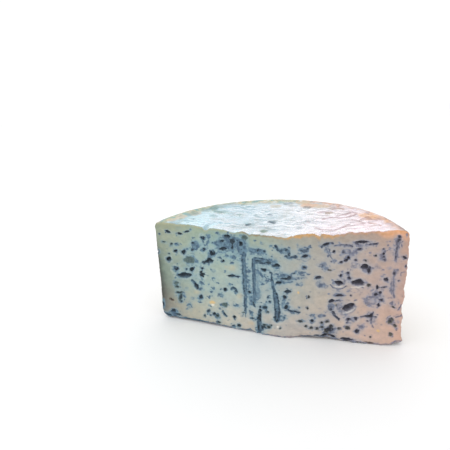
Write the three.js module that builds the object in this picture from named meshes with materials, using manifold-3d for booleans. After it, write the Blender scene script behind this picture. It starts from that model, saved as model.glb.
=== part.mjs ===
// Blue cheese wedge: a little under half of a small cylindrical wheel, parted
// from the rest by two upright knife cuts that meet in a blunt edge near the
// wheel's centre. Paste and rind grew as one piece, so it is one solid.
//
// Frame, in millimetres: +Z up, resting on z = 0. The two cut faces look
// towards -Y, the rind wall curves round the back (+Y), and +X runs from the
// left end of the cut to the right end, seen from the cut side. The origin is
// under the middle of the bounding box.
import * as THREE from "three";
import { mergeVertices } from "three/addons/utils/BufferGeometryUtils.js";
import Module from "manifold-3d";

// Driving dimensions of the whole wheel.
const WHEEL_RADIUS = 100; // rind to centre
const RIM_HEIGHT = 92; // top of the wheel just inside its rim
const DISH_DEPTH = 6.6; // how far the top has settled at the centre
const TOP_FILLET = 7.5; // rounding where the top turns into the wall
const BOTTOM_FILLET = 6; // rounding where the wall turns under
const WALL_BELLY = 0.6; // how far the wall draws in above and below its middle

// Driving dimensions of the cut, measured from the wheel's centre.
const EDGE_X = 3.6; // the blunt edge where the two cuts meet
const EDGE_Y = -7.9;
const END_Y = 1.5; // where each cut leaves through the rind
const LEFT_END_X = -99.99;
const RIGHT_END_X = 99.99;

// The wheel's centre lies this far in front of the origin.
const CENTRE_Y = -46.04;

const TURN_STEPS = 112; // facets round the whole wheel
const FILLET_STEPS = 6;

const wasm = await Module();
wasm.setup();

function solid(geometry, matrix) {
  const bare = geometry.clone();
  bare.deleteAttribute("normal");
  bare.deleteAttribute("uv");
  if (matrix) bare.applyMatrix4(matrix);
  const merged = mergeVertices(bare, 1e-4);
  return new wasm.Manifold(
    new wasm.Mesh({
      numProp: 3,
      vertProperties: new Float32Array(merged.attributes.position.array),
      triVerts: new Uint32Array(merged.index.array),
    }),
  );
}

function toGeometry(manifold) {
  const mesh = manifold.getMesh();
  const position = new Float32Array(mesh.numVert * 3);
  for (let i = 0; i < mesh.numVert; i++)
    for (let k = 0; k < 3; k++)
      position[3 * i + k] = mesh.vertProperties[mesh.numProp * i + k];
  const geometry = new THREE.BufferGeometry();
  geometry.setAttribute("position", new THREE.BufferAttribute(position, 3));
  geometry.setIndex(new THREE.BufferAttribute(new Uint32Array(mesh.triVerts), 1));
  geometry.computeVertexNormals();
  return geometry;
}

// Half section of the wheel, from the underside's centre round to the top's.
function wheelSection() {
  const points = [new THREE.Vector2(0, 0), new THREE.Vector2(50, 0)];
  for (let i = 0; i <= FILLET_STEPS; i++) {
    const a = (i / FILLET_STEPS) * (Math.PI / 2);
    points.push(
      new THREE.Vector2(
        WHEEL_RADIUS - WALL_BELLY - BOTTOM_FILLET + BOTTOM_FILLET * Math.sin(a),
        BOTTOM_FILLET - BOTTOM_FILLET * Math.cos(a),
      ),
    );
  }
  const wallLow = BOTTOM_FILLET;
  const wallHigh = RIM_HEIGHT - TOP_FILLET;
  for (const t of [0.25, 0.5, 0.75])
    points.push(
      new THREE.Vector2(
        WHEEL_RADIUS - WALL_BELLY * (2 * t - 1) ** 2,
        wallLow + (wallHigh - wallLow) * t,
      ),
    );
  for (let i = 0; i <= FILLET_STEPS; i++) {
    const a = (i / FILLET_STEPS) * (Math.PI / 2);
    points.push(
      new THREE.Vector2(
        WHEEL_RADIUS - WALL_BELLY - TOP_FILLET + TOP_FILLET * Math.cos(a),
        RIM_HEIGHT - TOP_FILLET + TOP_FILLET * Math.sin(a),
      ),
    );
  }
  const inner = WHEEL_RADIUS - WALL_BELLY - TOP_FILLET;
  for (const r of [78, 62, 44, 24])
    points.push(
      new THREE.Vector2(
        r,
        RIM_HEIGHT - DISH_DEPTH * (1 - Math.pow(r / inner, 1.25)),
      ),
    );
  points.push(new THREE.Vector2(0, RIM_HEIGHT - DISH_DEPTH));
  return points;
}

// A block whose one side is the upright plane through two points of the plan
// and which takes everything on the side of the plane away from the wedge.
function cutter(ax, ay, bx, by) {
  const reach = 400;
  const angle = Math.atan2(by - ay, bx - ax);
  const block = new THREE.BoxGeometry(reach, reach, reach);
  const matrix = new THREE.Matrix4()
    .makeTranslation((ax + bx) / 2, (ay + by) / 2 + CENTRE_Y, 0)
    .multiply(new THREE.Matrix4().makeRotationZ(angle))
    .multiply(new THREE.Matrix4().makeTranslation(0, -reach / 2, 0));
  return solid(block, matrix);
}

const lathe = new THREE.LatheGeometry(wheelSection(), TURN_STEPS);
const upright = new THREE.Matrix4()
  .makeTranslation(0, CENTRE_Y, 0)
  .multiply(new THREE.Matrix4().makeRotationX(Math.PI / 2));
const wheel = solid(lathe, upright);
const wedge = wheel
  .subtract(cutter(LEFT_END_X, END_Y, EDGE_X, EDGE_Y))
  .subtract(cutter(EDGE_X, EDGE_Y, RIGHT_END_X, END_Y));

const cheese = new THREE.Mesh(
  toGeometry(wedge),
  new THREE.MeshStandardMaterial({
    color: new THREE.Color(0.8, 0.76, 0.66),
    roughness: 0.55,
    metalness: 0,
  }),
);
cheese.name = "cheese_wedge";

const part = new THREE.Group();
part.name = "blue_cheese_wedge";
part.add(cheese);

export default part;
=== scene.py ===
"""Half wheel of soft blue cheese: one closed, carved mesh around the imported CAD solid, with a procedural material.

The shape is a signed distance field on a millimetre grid (wheel section, dished top, two slightly angled cuts), into which the eyes, needle channels, smears and torn edges are carved. The zero surface is then meshed.
Positions on the cut are given as U, along the cut from its crease (left is negative), and V, the height. Everything in this file is in millimetres until the mesh is made.
"""
import math

import bpy
import numpy as np
from mathutils import Matrix, Vector


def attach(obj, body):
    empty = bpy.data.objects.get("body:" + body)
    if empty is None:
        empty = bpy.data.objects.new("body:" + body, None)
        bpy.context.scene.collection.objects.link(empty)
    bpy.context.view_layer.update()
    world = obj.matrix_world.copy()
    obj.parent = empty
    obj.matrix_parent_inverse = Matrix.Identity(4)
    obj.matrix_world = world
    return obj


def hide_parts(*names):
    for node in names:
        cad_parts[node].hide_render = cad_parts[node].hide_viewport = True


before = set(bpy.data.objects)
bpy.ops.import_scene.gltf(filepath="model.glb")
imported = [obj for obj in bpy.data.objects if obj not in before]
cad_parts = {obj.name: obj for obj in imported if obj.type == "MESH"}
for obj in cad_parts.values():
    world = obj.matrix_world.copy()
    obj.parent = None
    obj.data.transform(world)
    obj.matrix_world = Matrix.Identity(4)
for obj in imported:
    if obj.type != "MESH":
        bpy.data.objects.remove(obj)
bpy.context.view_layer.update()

# ---------------------------------------------------------------- dimensions, mm
WHEEL_R = 100.0
WHEEL_Y = -46.04
RIM_H = 92.0
DISH = 6.6
FILLET_TOP = 7.5
CREASE = np.array([3.6, -53.94])
END_L = np.array([-99.99, -44.54])
END_R = np.array([99.99, -44.54])
DIR_L = (CREASE - END_L) / np.linalg.norm(CREASE - END_L)
DIR_R = (END_R - CREASE) / np.linalg.norm(END_R - CREASE)
LEN_L = float(np.linalg.norm(CREASE - END_L))
LEN_R = float(np.linalg.norm(END_R - CREASE))
OUT_L = np.array([DIR_L[1], -DIR_L[0]])
OUT_R = np.array([DIR_R[1], -DIR_R[0]])

CELL = 0.4


# ---------------------------------------------------------------- noise
def _fade(t):
    return t * t * t * (t * (t * 6 - 15) + 10)


_TABLES = {}


def _table(seed, dims):
    if (seed, dims) not in _TABLES:
        rs = np.random.RandomState(seed)
        perm = rs.permutation(256).astype(np.int32)
        if dims == 2:
            a = rs.uniform(0, 2 * np.pi, 256)
            grad = np.stack([np.cos(a), np.sin(a)], 1).astype(np.float32)
        else:
            g = rs.normal(size=(256, 3))
            grad = (g / np.linalg.norm(g, axis=1, keepdims=True)).astype(np.float32)
        _TABLES[seed, dims] = (perm, grad)
    return _TABLES[seed, dims]


def noise2(x, y, seed):
    """Gradient noise over the plane, about -1 to 1."""
    perm, grad = _table(seed, 2)
    x, y = np.asarray(x, np.float32), np.asarray(y, np.float32)
    xi, yi = np.floor(x).astype(np.int32), np.floor(y).astype(np.int32)
    xf, yf = x - xi, y - yi
    u, v = _fade(xf), _fade(yf)

    def corner(dx, dy):
        g = grad[perm[(perm[(xi + dx) & 255] + yi + dy) & 255]]
        return g[..., 0] * (xf - dx) + g[..., 1] * (yf - dy)

    a = corner(0, 0) * (1 - u) + corner(1, 0) * u
    b = corner(0, 1) * (1 - u) + corner(1, 1) * u
    return (a * (1 - v) + b * v) * 1.5


def noise3(p, scale, seed):
    """Gradient noise at points p (n, 3), wavelength scale (one number or three), about -1 to 1."""
    perm, grad = _table(seed, 3)
    q = (p / np.asarray(scale, np.float32)).astype(np.float32)
    i = np.floor(q).astype(np.int32)
    f = q - i
    w = _fade(f)
    total = 0
    for dx in (0, 1):
        for dy in (0, 1):
            h = perm[(perm[(i[:, 0] + dx) & 255] + i[:, 1] + dy) & 255]
            for dz in (0, 1):
                g = grad[perm[(h + i[:, 2] + dz) & 255]]
                d = g[:, 0] * (f[:, 0] - dx) + g[:, 1] * (f[:, 1] - dy) + g[:, 2] * (f[:, 2] - dz)
                k = (w[:, 0] if dx else 1 - w[:, 0]) * (w[:, 1] if dy else 1 - w[:, 1]) * (w[:, 2] if dz else 1 - w[:, 2])
                total = total + d * k
    return total * 1.6


def fbm2(x, y, wave, seed, octaves=3, gain=0.5):
    total, amp, norm = 0, 1.0, 0.0
    for o in range(octaves):
        total = total + amp * noise2(x / wave + 13.7 * o, y / wave - 7.3 * o, seed + o)
        norm += amp
        amp *= gain
        wave = wave * 0.5
    return total / norm


def step(lo, hi, v):
    t = np.clip((v - lo) / (hi - lo), 0, 1)
    return t * t * (3 - 2 * t)


def blur(a, sigma):
    """Gaussian blur of a 2-D map, sigma in cells."""
    n = int(math.ceil(sigma * 3))
    k = np.exp(-0.5 * (np.arange(-n, n + 1) / sigma) ** 2)
    k /= k.sum()
    for axis in (0, 1):
        pad = [(0, 0), (0, 0)]
        pad[axis] = (n, n)
        b = np.pad(a, pad, mode="edge")
        out = np.zeros_like(a)
        for o, w in enumerate(k):
            out += w * (b[o:o + a.shape[0]] if axis == 0 else b[:, o:o + a.shape[1]])
        a = out
    return a


def linear(r, g, b):
    """sRGB 0..255 to linear."""
    c = np.array([r, g, b], float) / 255
    return np.where(c <= 0.04045, c / 12.92, ((c + 0.055) / 1.055) ** 2.4)


# ---------------------------------------------------------------- the cut face: what is on it
# kind, U, V, half length, half height, turn in degrees; or kind, width : U,V U,V ... for a stroke.
# H dark eye, h shallow eye, B mould with a dark core, M mould, m faint mould, R mould ring, G dark olive, g grey-green mould,
# N brown, Y yellow, y faint warm patch, W white crumb, p pale patch, X crossed mould, L mould stroke, C needle channel, D dark fissure, P pale stroke
FEATURES = """
H -91.5 83.0 2.53 1.06 -18
H -80.1 82.1 2.33 0.92 -8
H -73.1 84.5 2.43 0.72 12
M -83.4 80.0 0.93 0.76 32
M -69.4 86.4 0.99 0.83 32
M -67.6 79.5 1.43 0.95 12
G -96.5 73.5 2.01 0.74 2
G -89.3 71.9 1.53 1.15 47
M -83.4 72.3 2.42 2.01 -21
H -86.2 66.0 1.78 1.12 13
H -78.1 65.5 2.30 1.90 45
G -92.4 63.1 1.04 0.68 15
H -93.3 57.7 2.48 1.94 30
H -103.2 63.9 1.45 1.00 72
B -58.5 80.0 2.70 2.21 6
M -54.5 76.0 2.78 1.28 64
M -53.2 81.9 2.21 1.76 69
M -66.0 72.8 4.41 3.59 61
h -68.5 74.8 1.22 0.94 21
h -69.0 68.7 1.46 0.96 14
B -58.7 70.0 2.93 1.67 26
M -73.9 69.0 1.47 0.88 11
B -51.3 67.2 4.19 3.53 39
g -72.9 59.2 5.37 3.34 10
M -65.6 58.6 2.28 1.74 23
H -54.3 60.3 4.05 2.16 16
h -59.0 58.4 2.38 1.33 11
H -36.8 83.2 2.77 1.71 -2
M -31.7 81.5 3.67 1.54 -20
H -41.5 78.9 2.26 0.83 13
R -40.5 71.9 5.44 3.15 14
m -38.0 76.6 9.54 6.45 2
m -27.7 75.0 7.72 5.88 76
M -42.9 75.2 4.82 1.74 -1
L 1.4 : -46.8,76.3 -42.5,74.3 -36.2,76.9
L 1.2 : -35.2,79.4 -33.7,75.3 -32.7,70.3
L 1.1 : -31.9,78.0 -27.7,75.0 -26.2,70.9
H -41.0 72.1 3.42 1.46 15
M -46.3 76.6 3.16 1.49 7
M -45.4 85.3 1.80 1.25 12
M -37.7 66.5 2.12 1.35 -9
M -31.3 65.6 2.07 1.67 24
M -44.0 64.3 2.05 1.20 -35
H -41.5 61.6 1.37 0.86 13
B -32.9 73.7 2.57 1.29 84
D 1.4 : -35.5,81.2 -33.0,79.1 -32.3,75.4
M -34.6 80.8 2.85 1.34 -25
M -30.1 79.4 8.34 3.88 -8
M -35.4 76.4 4.40 2.52 9
H -25.4 77.6 1.95 1.68 34
h -32.7 79.2 2.59 2.10 70
g -22.0 83.5 2.55 1.87 13
M -28.3 80.5 1.35 1.18 41
M -13.3 81.5 1.24 0.81 10
M -32.9 65.7 2.21 1.28 10
M -26.6 72.2 2.13 1.27 83
M -23.1 72.9 5.10 3.35 82
m -23.5 74.5 6.03 4.95 70
M -12.4 73.3 6.98 1.83 2
L 1.3 : -17.7,72.1 -12.8,71.7 -6.2,72.0
M -7.8 72.4 2.44 1.41 3
h -11.6 73.5 0.97 0.85 48
h -6.3 73.2 1.25 1.04 24
M -5.6 65.5 10.21 2.08 4
D 1.0 : -14.6,66.9 -8.0,67.0 -3.1,66.1
D 1.0 : -13.9,63.1 -8.1,63.0 -1.6,63.6
h -10.9 64.7 2.89 0.93 3
h -3.2 64.4 2.83 0.84 2
H 4.1 62.4 2.29 1.26 -18
M -11.3 66.7 3.37 0.82 11
M -0.6 78.3 1.27 1.14 51
M -0.3 69.7 1.21 0.81 11
m -7.6 79.7 2.44 1.22 7
m 19.6 79.8 1.36 1.26 81
H 25.2 70.5 2.42 1.04 11
R 25.5 69.3 3.71 2.83 4
m 35.0 82.1 0.72 0.59 2
M 24.4 62.1 1.87 1.07 3
G 24.4 61.8 1.12 0.66 3
m 24.0 59.9 2.25 0.82 3
m 41.0 76.2 2.76 2.52 89
L 0.8 : 40.1,77.4 42.2,73.4 44.3,69.9 46.7,66.0
L 0.7 : 42.8,76.2 44.2,71.9
R 54.7 75.1 3.00 1.96 8
m 55.4 75.0 3.17 1.96 1
h 52.9 74.7 1.10 0.99 -88
H 65.8 83.0 4.47 1.03 3
M 63.9 80.2 2.77 1.31 1
h 61.8 81.8 1.80 0.93 -33
H 46.1 75.0 0.97 0.91 0
B 64.3 77.6 2.44 1.39 19
M 61.6 74.7 1.75 1.17 1
M 71.7 74.8 1.03 0.93 -3
m 68.2 73.8 0.69 0.62 0
h 61.8 68.9 0.95 0.91 0
G 68.8 68.7 1.12 0.86 -13
H 68.0 63.4 2.74 2.21 -8
H 71.0 60.4 1.81 1.49 -75
R 60.7 63.5 2.12 1.67 2
m 60.7 63.5 1.77 1.35 2
H 80.9 74.2 0.93 0.87 0
M 80.6 70.8 2.39 1.78 0
h 81.2 71.9 0.82 0.77 0
h 81.7 69.6 0.91 0.60 -25
m 79.6 73.1 1.93 1.36 -86
G 75.5 72.6 1.01 0.96 0
h 90.5 87.4 1.20 1.05 -77
M 89.8 84.1 1.85 1.34 85
M 89.0 69.8 2.08 1.14 -86
M 95.5 89.2 1.47 0.79 87
H 95.2 71.8 1.57 0.93 -18
h 96.5 65.1 1.16 0.67 -85
M 92.7 80.6 1.51 0.50 -86
m 85.1 63.5 2.05 1.57 0
B -86.8 49.3 3.77 2.64 29
H -71.2 50.5 2.10 1.71 39
h -76.5 50.2 0.96 0.77 38
H -79.1 44.3 7.38 2.40 9
B -61.3 52.7 1.94 1.33 17
X -61.7 47.2 3.12 2.94 27
M -51.4 44.9 1.92 1.33 18
H -34.6 49.2 3.58 1.11 6
h -29.4 49.2 2.22 0.52 8
M -40.1 52.5 1.38 1.05 71
M -33.8 60.7 1.80 1.28 16
m -51.2 51.7 2.83 1.77 14
M -62.8 39.2 2.27 1.97 5
M -63.9 33.5 2.00 1.36 20
g -87.9 35.7 2.45 1.94 50
G -87.5 32.3 2.61 1.23 12
G -85.6 27.2 3.33 1.15 10
h -87.1 26.8 1.57 0.67 11
G -85.0 22.4 4.24 1.52 69
h -84.6 22.9 2.12 0.76 69
h -84.2 18.6 1.14 0.89 42
M -80.8 24.0 2.01 1.23 76
N -94.5 19.0 3.12 1.52 -13
L 1.3 : -79.0,15.3 -76.4,17.5 -73.7,14.4
m -76.0 15.4 3.14 1.90 18
M -79.7 11.8 1.51 0.80 5
h -64.4 25.7 2.23 1.75 38
M -64.4 25.5 2.70 2.15 44
M -65.4 20.5 1.52 0.93 17
M -55.9 39.0 1.45 0.90 15
M -54.2 32.1 1.57 1.27 45
M -55.9 27.1 2.10 1.29 55
M -47.4 41.0 1.88 0.90 11
M -51.7 35.6 1.55 1.26 45
H -41.1 36.0 1.52 1.32 53
D 1.8 : -35.3,37.5 -33.8,38.8 -32.1,38.1 -30.8,35.7
M -36.8 41.4 1.89 1.12 72
M -31.4 34.4 1.49 1.23 49
M -45.5 30.3 2.87 1.76 -7
g -42.0 21.9 2.86 2.10 20
M -45.7 21.2 1.48 1.11 68
M -47.4 17.6 1.46 0.92 18
M -31.4 23.0 2.23 1.40 6
m -28.4 22.5 1.83 0.90 13
h -58.0 13.4 2.12 1.32 61
D 1.8 : -44.3,15.0 -43.0,13.3 -41.7,11.4
H -33.6 11.6 1.58 1.40 39
G -62.0 8.1 1.33 0.85 20
y -18.7 8.8 3.95 1.88 5
y -67.9 30.1 4.54 2.77 16
y -27.9 32.2 3.76 3.00 32
G -25.4 17.5 1.37 0.55 12
m -27.0 13.9 1.88 1.34 24
m -33.6 26.0 1.18 0.88 25
Y -53.7 22.4 2.95 1.84 17
W -53.3 20.0 1.95 0.93 13
y -39.3 57.1 1.82 1.13 13
y -33.8 56.3 4.50 3.01 15
h -103.9 13.0 3.11 0.95 82
m -103.3 14.1 6.22 2.10 82
h -99.0 3.0 3.46 1.23 -11
M -99.2 3.6 3.96 1.67 -10
h -93.4 8.2 2.42 1.52 10
M -92.6 6.7 4.20 2.54 9
h -88.6 4.8 2.96 1.08 -6
h -79.2 2.4 4.54 0.61 2
h -67.2 2.1 4.89 0.51 1
G -48.6 4.0 1.98 1.13 17
B -35.1 2.8 2.38 1.21 15
H -30.1 4.3 1.69 1.32 38
m -72.3 23.7 2.61 1.84 24
m -40.8 27.1 1.42 0.90 17
m -57.1 19.3 1.61 1.28 46
m -77.5 32.6 2.07 1.38 19
M -20.1 54.9 2.20 1.68 21
M -20.8 50.5 1.41 1.20 49
M -21.2 46.5 2.25 1.68 75
M -19.7 41.8 1.81 1.27 78
B -19.9 36.3 2.41 2.01 52
M -18.0 31.9 2.87 2.03 63
m -11.7 36.3 4.92 2.52 85
H -7.0 57.5 1.99 1.32 -10
B 1.9 61.6 3.07 1.43 -11
m -8.5 48.1 1.84 1.57 53
M -4.3 48.7 2.10 1.27 13
M -7.8 45.4 2.12 1.11 11
m -4.4 40.4 1.62 1.12 -2
B -3.9 34.3 1.41 1.18 56
B -2.7 30.4 1.60 1.33 57
m -5.7 28.4 1.82 1.24 79
R 4.1 56.5 2.34 2.08 15
L 1.0 : -6.7,52.7 -4.3,50.4 -1.0,50.0
M 9.2 54.6 3.47 1.26 3
R 10.3 51.4 7.34 3.37 3
M 9.6 54.2 3.47 2.10 4
H 11.0 51.4 4.62 0.84 0
H 13.0 52.5 1.70 1.25 12
H 4.9 47.8 2.36 1.27 9
B 17.1 56.2 1.71 0.90 20
m 19.1 53.1 2.28 0.84 3
B 24.4 61.6 2.06 1.07 3
m 24.0 53.2 3.02 1.25 3
M 22.9 55.1 2.27 0.62 3
M 27.6 55.9 1.42 0.83 3
H 34.9 53.5 2.42 1.30 21
m 36.3 48.3 4.09 2.92 -9
M 37.2 47.3 1.86 1.25 4
m 40.9 46.1 2.09 1.85 84
m 38.8 64.1 3.32 2.80 -27
M 38.1 63.0 1.62 1.46 86
M 41.0 61.1 1.83 1.46 4
G 43.3 60.1 1.46 0.81 -7
m 34.7 64.0 1.84 1.62 7
M 19.6 46.9 1.90 1.27 -8
L 1.0 : 6.8,48.2 11.4,48.1 15.7,49.3
H 11.9 40.6 2.94 1.28 11
H 9.3 35.7 1.58 1.38 16
M 8.9 32.9 1.58 0.87 5
Y 20.0 40.3 1.11 0.84 86
G 28.0 37.0 1.37 0.95 88
G 27.1 27.0 1.31 0.85 88
m 9.3 28.5 3.24 3.00 37
R 9.4 28.1 2.67 2.34 75
H 10.8 26.8 2.23 1.36 72
m 16.7 23.8 5.07 2.00 -3
B -7.1 24.9 2.64 1.95 23
H -10.6 24.9 0.97 0.80 55
M -18.5 17.9 1.99 1.62 54
B -17.9 13.5 2.48 1.18 13
G -4.4 21.4 1.31 0.87 19
R 7.4 16.7 2.45 2.20 28
m 6.8 16.7 2.88 2.63 35
h 8.9 17.4 0.91 0.79 74
B -8.8 6.5 3.02 2.38 36
G -7.4 9.0 1.67 1.04 -0
G -4.0 7.6 1.70 1.20 10
G -1.9 9.7 0.98 0.79 58
G 5.6 7.6 0.98 0.73 11
W 3.9 8.9 1.22 0.91 11
M 30.7 21.2 1.70 1.31 9
M 38.1 21.4 3.24 1.48 5
B 31.2 15.9 2.36 2.18 29
G 21.5 15.3 2.37 0.97 10
m 24.5 15.3 1.57 0.89 6
G 25.8 11.4 1.21 1.13 44
G 30.3 10.0 1.40 1.31 42
G 35.0 9.8 1.56 1.33 15
G 42.1 16.5 1.53 1.14 8
G 38.2 15.4 1.15 0.88 9
G 38.3 11.5 1.16 0.71 7
m 36.6 27.6 1.52 0.86 5
m 41.3 25.3 1.89 1.08 5
B 44.6 9.7 3.66 3.30 20
M 44.6 9.3 4.25 3.94 28
G 45.3 12.5 1.77 1.51 83
G 42.0 8.2 2.24 1.91 82
H 40.1 4.1 3.16 1.05 19
H 34.4 3.5 2.34 0.63 5
G 38.5 11.5 0.80 0.69 81
m 13.2 33.6 1.18 0.87 8
m 33.2 43.7 0.85 0.75 82
m 35.9 41.1 0.91 0.84 0
h 71.8 63.0 1.19 1.04 -86
m 71.8 63.0 1.58 1.39 -86
R 57.3 60.6 1.45 1.28 -89
B 56.6 58.4 1.61 1.21 3
H 51.4 56.1 1.22 0.94 -90
R 55.0 55.0 3.30 2.79 -30
B 57.7 53.9 1.69 1.52 -66
p 50.2 46.7 3.47 0.91 1
L 0.9 : 44.1,48.3 46.1,45.7 49.8,44.6 53.1,45.4 55.4,47.4
H 50.4 49.8 3.49 1.81 -7
H 64.2 50.6 4.78 2.36 0
h 65.0 53.1 1.42 1.05 3
P 0.8 : 59.5,46.9 64.2,47.0 68.4,48.3
R 61.8 44.2 3.60 2.06 3
G 71.6 48.9 1.41 1.30 4
H 77.8 47.7 1.86 0.88 -87
h 82.0 48.0 1.95 0.65 10
M 80.6 57.0 1.80 1.03 2
H 83.6 54.1 1.45 1.14 -38
M 81.1 61.5 1.17 1.02 -1
m 77.2 64.3 2.41 1.97 1
h 89.0 59.2 1.73 0.88 -86
m 89.0 59.2 2.76 1.36 -86
M 87.3 46.0 2.02 1.17 -86
M 89.9 41.0 1.63 1.04 -86
M 88.6 35.0 1.65 1.39 -87
G 90.1 32.3 1.08 0.88 -32
M 93.3 35.8 1.21 0.70 80
L 0.9 : 93.1,29.6 94.3,31.7 95.4,34.3
M 77.6 41.9 3.17 3.07 7
H 77.3 41.3 1.26 1.02 46
H 80.2 43.4 0.98 0.91 0
B 81.3 37.5 2.67 1.46 -16
H 79.4 33.1 1.57 0.86 80
R 73.8 36.6 4.27 3.73 6
M 75.2 39.7 2.87 0.97 21
M 70.6 35.6 2.24 0.86 80
m 73.2 37.1 4.28 3.73 5
M 73.4 32.1 1.07 1.00 0
y 70.3 32.0 1.22 1.01 6
M 50.7 40.0 4.78 1.67 3
H 51.0 39.3 3.32 0.84 7
H 45.3 34.4 2.28 1.16 21
h 50.0 35.2 2.40 0.59 1
y 48.2 32.5 1.28 1.11 85
G 48.7 31.0 0.85 0.74 85
M 45.0 29.7 3.21 2.25 77
h 45.0 27.1 1.15 1.10 0
R 56.9 28.1 7.25 4.32 30
H 57.9 29.8 5.02 2.66 37
P 1.0 : 54.5,24.7 57.0,25.2 59.9,26.6 62.6,29.4
m 50.9 31.1 3.82 1.86 75
D 2.0 : 46.7,24.7 48.1,21.9 50.9,19.6
D 0.9 : 67.1,22.6 70.3,22.9
H 72.9 23.1 2.89 1.11 4
H 75.1 24.1 1.61 1.30 86
D 0.9 : 75.2,24.6 75.8,26.8
D 0.9 : 75.6,23.4 78.2,22.9
D 1.2 : 75.0,23.2 75.0,20.3
M 75.0 17.9 1.72 0.94 -88
L 0.8 : 75.6,16.9 76.9,13.6
m 76.9 19.2 1.70 1.09 80
G 89.0 20.8 2.51 1.57 81
G 87.5 19.0 1.10 0.92 -89
L 0.9 : 85.7,21.8 87.0,23.9 88.5,24.8
G 92.0 16.4 1.60 1.24 -29
m 94.2 20.4 1.68 1.40 -87
B 58.6 19.7 2.98 1.38 10
B 63.5 20.7 1.91 1.82 69
B 57.7 16.8 1.35 1.29 0
G 57.8 12.1 2.02 1.75 12
G 51.4 11.3 1.66 1.06 6
M 68.4 13.8 2.23 2.14 37
h 65.2 9.9 1.75 1.48 86
H 64.8 9.7 1.32 1.11 86
Y 80.6 11.3 1.32 1.28 0
G 74.9 5.7 0.81 0.70 11
H 59.4 39.9 0.67 0.58 88
m 95.6 41.8 1.21 0.69 -86
g 89.3 8.9 1.56 1.43 87
m 78.6 0.6 2.93 1.76 6
N 74.1 1.5 4.41 0.71 -5
C 2.9 : -22.7,69.6 -23.5,67.0 -24.1,63.5
C 3.4 : -23.8,63.5 -23.5,57.5 -23.4,48.8 -23.4,38.2
C 2.4 : -23.4,38.2 -23.4,29.2 -23.4,22.9
D 1.4 : -23.4,22.9 -23.7,19.1
L 0.9 : -23.7,19.1 -23.8,13.5
C 2.4 : -15.5,65.2 -15.3,56.8 -15.3,49.9
C 2.1 : -15.3,49.9 -15.4,39.3 -15.4,28.6
m -12.4 45.0 15.77 2.10 88
D 1.8 : -17.1,27.5 -15.6,25.0
M -17.1 29.3 4.26 2.06 72
D 1.6 : 2.8,78.5 3.8,76.3 5.7,74.4 7.9,74.8
D 1.9 : 7.9,75.3 10.5,75.7 12.6,74.3 13.1,71.6
D 1.9 : 10.6,70.0 13.5,69.0 18.2,69.8
m 9.4 73.3 3.01 1.63 -9
L 2.6 : 21.1,76.0 24.3,74.6 26.6,75.5 28.3,78.4
D 1.4 : 21.7,74.9 25.1,74.2 27.3,76.6
m 25.1 76.2 3.32 2.00 2
D 1.4 : 37.2,78.3 39.3,80.2 41.7,81.2
D 1.0 : 41.7,81.2 43.5,81.6 45.3,81.5
h 40.3 80.4 1.83 0.77 29
m 35.6 79.0 1.46 0.78 -21
L 1.0 : 46.1,79.3 50.3,80.4 54.5,80.4 58.8,79.2
m 53.1 79.6 5.64 1.17 1
D 0.9 : 54.5,80.6 58.8,79.5
H 51.4 66.7 1.08 0.91 19
H 54.9 68.3 1.64 0.87 16
H 56.3 70.5 1.34 1.06 -88
L 0.9 : 56.6,72.1 59.7,74.0
M 56.6 71.5 1.41 1.18 2
L 1.8 : 58.3,73.5 62.4,76.4
L 1.7 : 68.8,80.8 72.5,81.2 76.6,82.0
D 1.1 : 70.5,81.0 75.9,82.0
m 82.6 83.5 1.48 0.75 1
M 84.4 83.7 0.68 0.60 -79
M 83.4 80.8 0.98 0.67 -72
M 85.1 78.6 1.02 0.75 -15
L 0.6 : 84.6,77.7 83.0,76.6 81.8,75.3
L 2.3 : 90.6,87.0 90.1,82.8 89.7,79.0
L 1.9 : 89.6,79.8 89.5,76.0 89.3,72.4
M 89.3 70.1 1.39 1.14 -83
D 0.9 : 90.5,86.1 90.9,84.9
M 90.5 61.8 1.56 1.33 -1
D 1.2 : 90.3,85.4 90.0,82.0 89.6,78.3
D 1.0 : 89.6,78.3 89.3,74.4 89.2,69.4
H -67.9 35.2 2.33 1.60 -57
D 2.5 : -71.1,40.2 -69.6,38.0 -67.9,35.2
H -52.5 11.7 1.47 1.31 17
G -49.8 10.0 2.20 1.57 -13
m -50.2 10.0 3.57 2.58 -8
L 2.2 : -11.6,56.0 -9.6,54.4 -8.1,52.0
D 1.0 : -0.5,56.0 -0.6,49.2
C 2.0 : -0.4,49.2 0.3,45.0 1.9,38.1
C 3.5 : 1.9,38.1 2.9,30.9 3.4,22.8
C 4.2 : 3.4,22.8 3.1,15.2
D 1.3 : 3.0,38.2 4.3,30.9 5.2,22.9 4.6,17.1
D 2.2 : 1.2,16.8 3.0,14.1
D 2.7 : -11.1,21.8 -11.6,17.5 -11.9,11.9
C 3.4 : -11.9,12.8 -11.9,6.4 -11.9,-0.2
D 1.6 : -13.2,10.8 -13.1,6.1 -12.1,0.2
L 0.8 : 88.5,56.5 89.2,49.4 89.1,44.5 90.3,40.5
L 0.9 : 45.6,49.2 47.0,50.9
D 1.4 : 12.5,24.6 15.9,23.5 18.7,23.5 21.1,23.0
L 1.7 : 20.6,56.9 25.1,57.4
L 1.3 : 18.7,58.1 15.3,55.8
L 0.7 : 93.7,57.5 93.6,60.2 96.4,60.8
L 1.0 : 92.3,23.7 97.1,25.3
L 0.7 : 87.4,51.7 87.4,47.7 88.1,44.5
m 88.7 49.3 8.02 1.72 -86
H 57.3 2.4 4.89 1.16 1
H 67.5 -0.0 3.35 1.07 -12
L 1.1 : 61.5,1.8 65.3,0.9
L 1.3 : 69.8,-0.5 76.5,-1.7
H 46.8 3.6 2.31 0.98 -24
N 44.0 4.4 1.53 0.90 -7
"""

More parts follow.
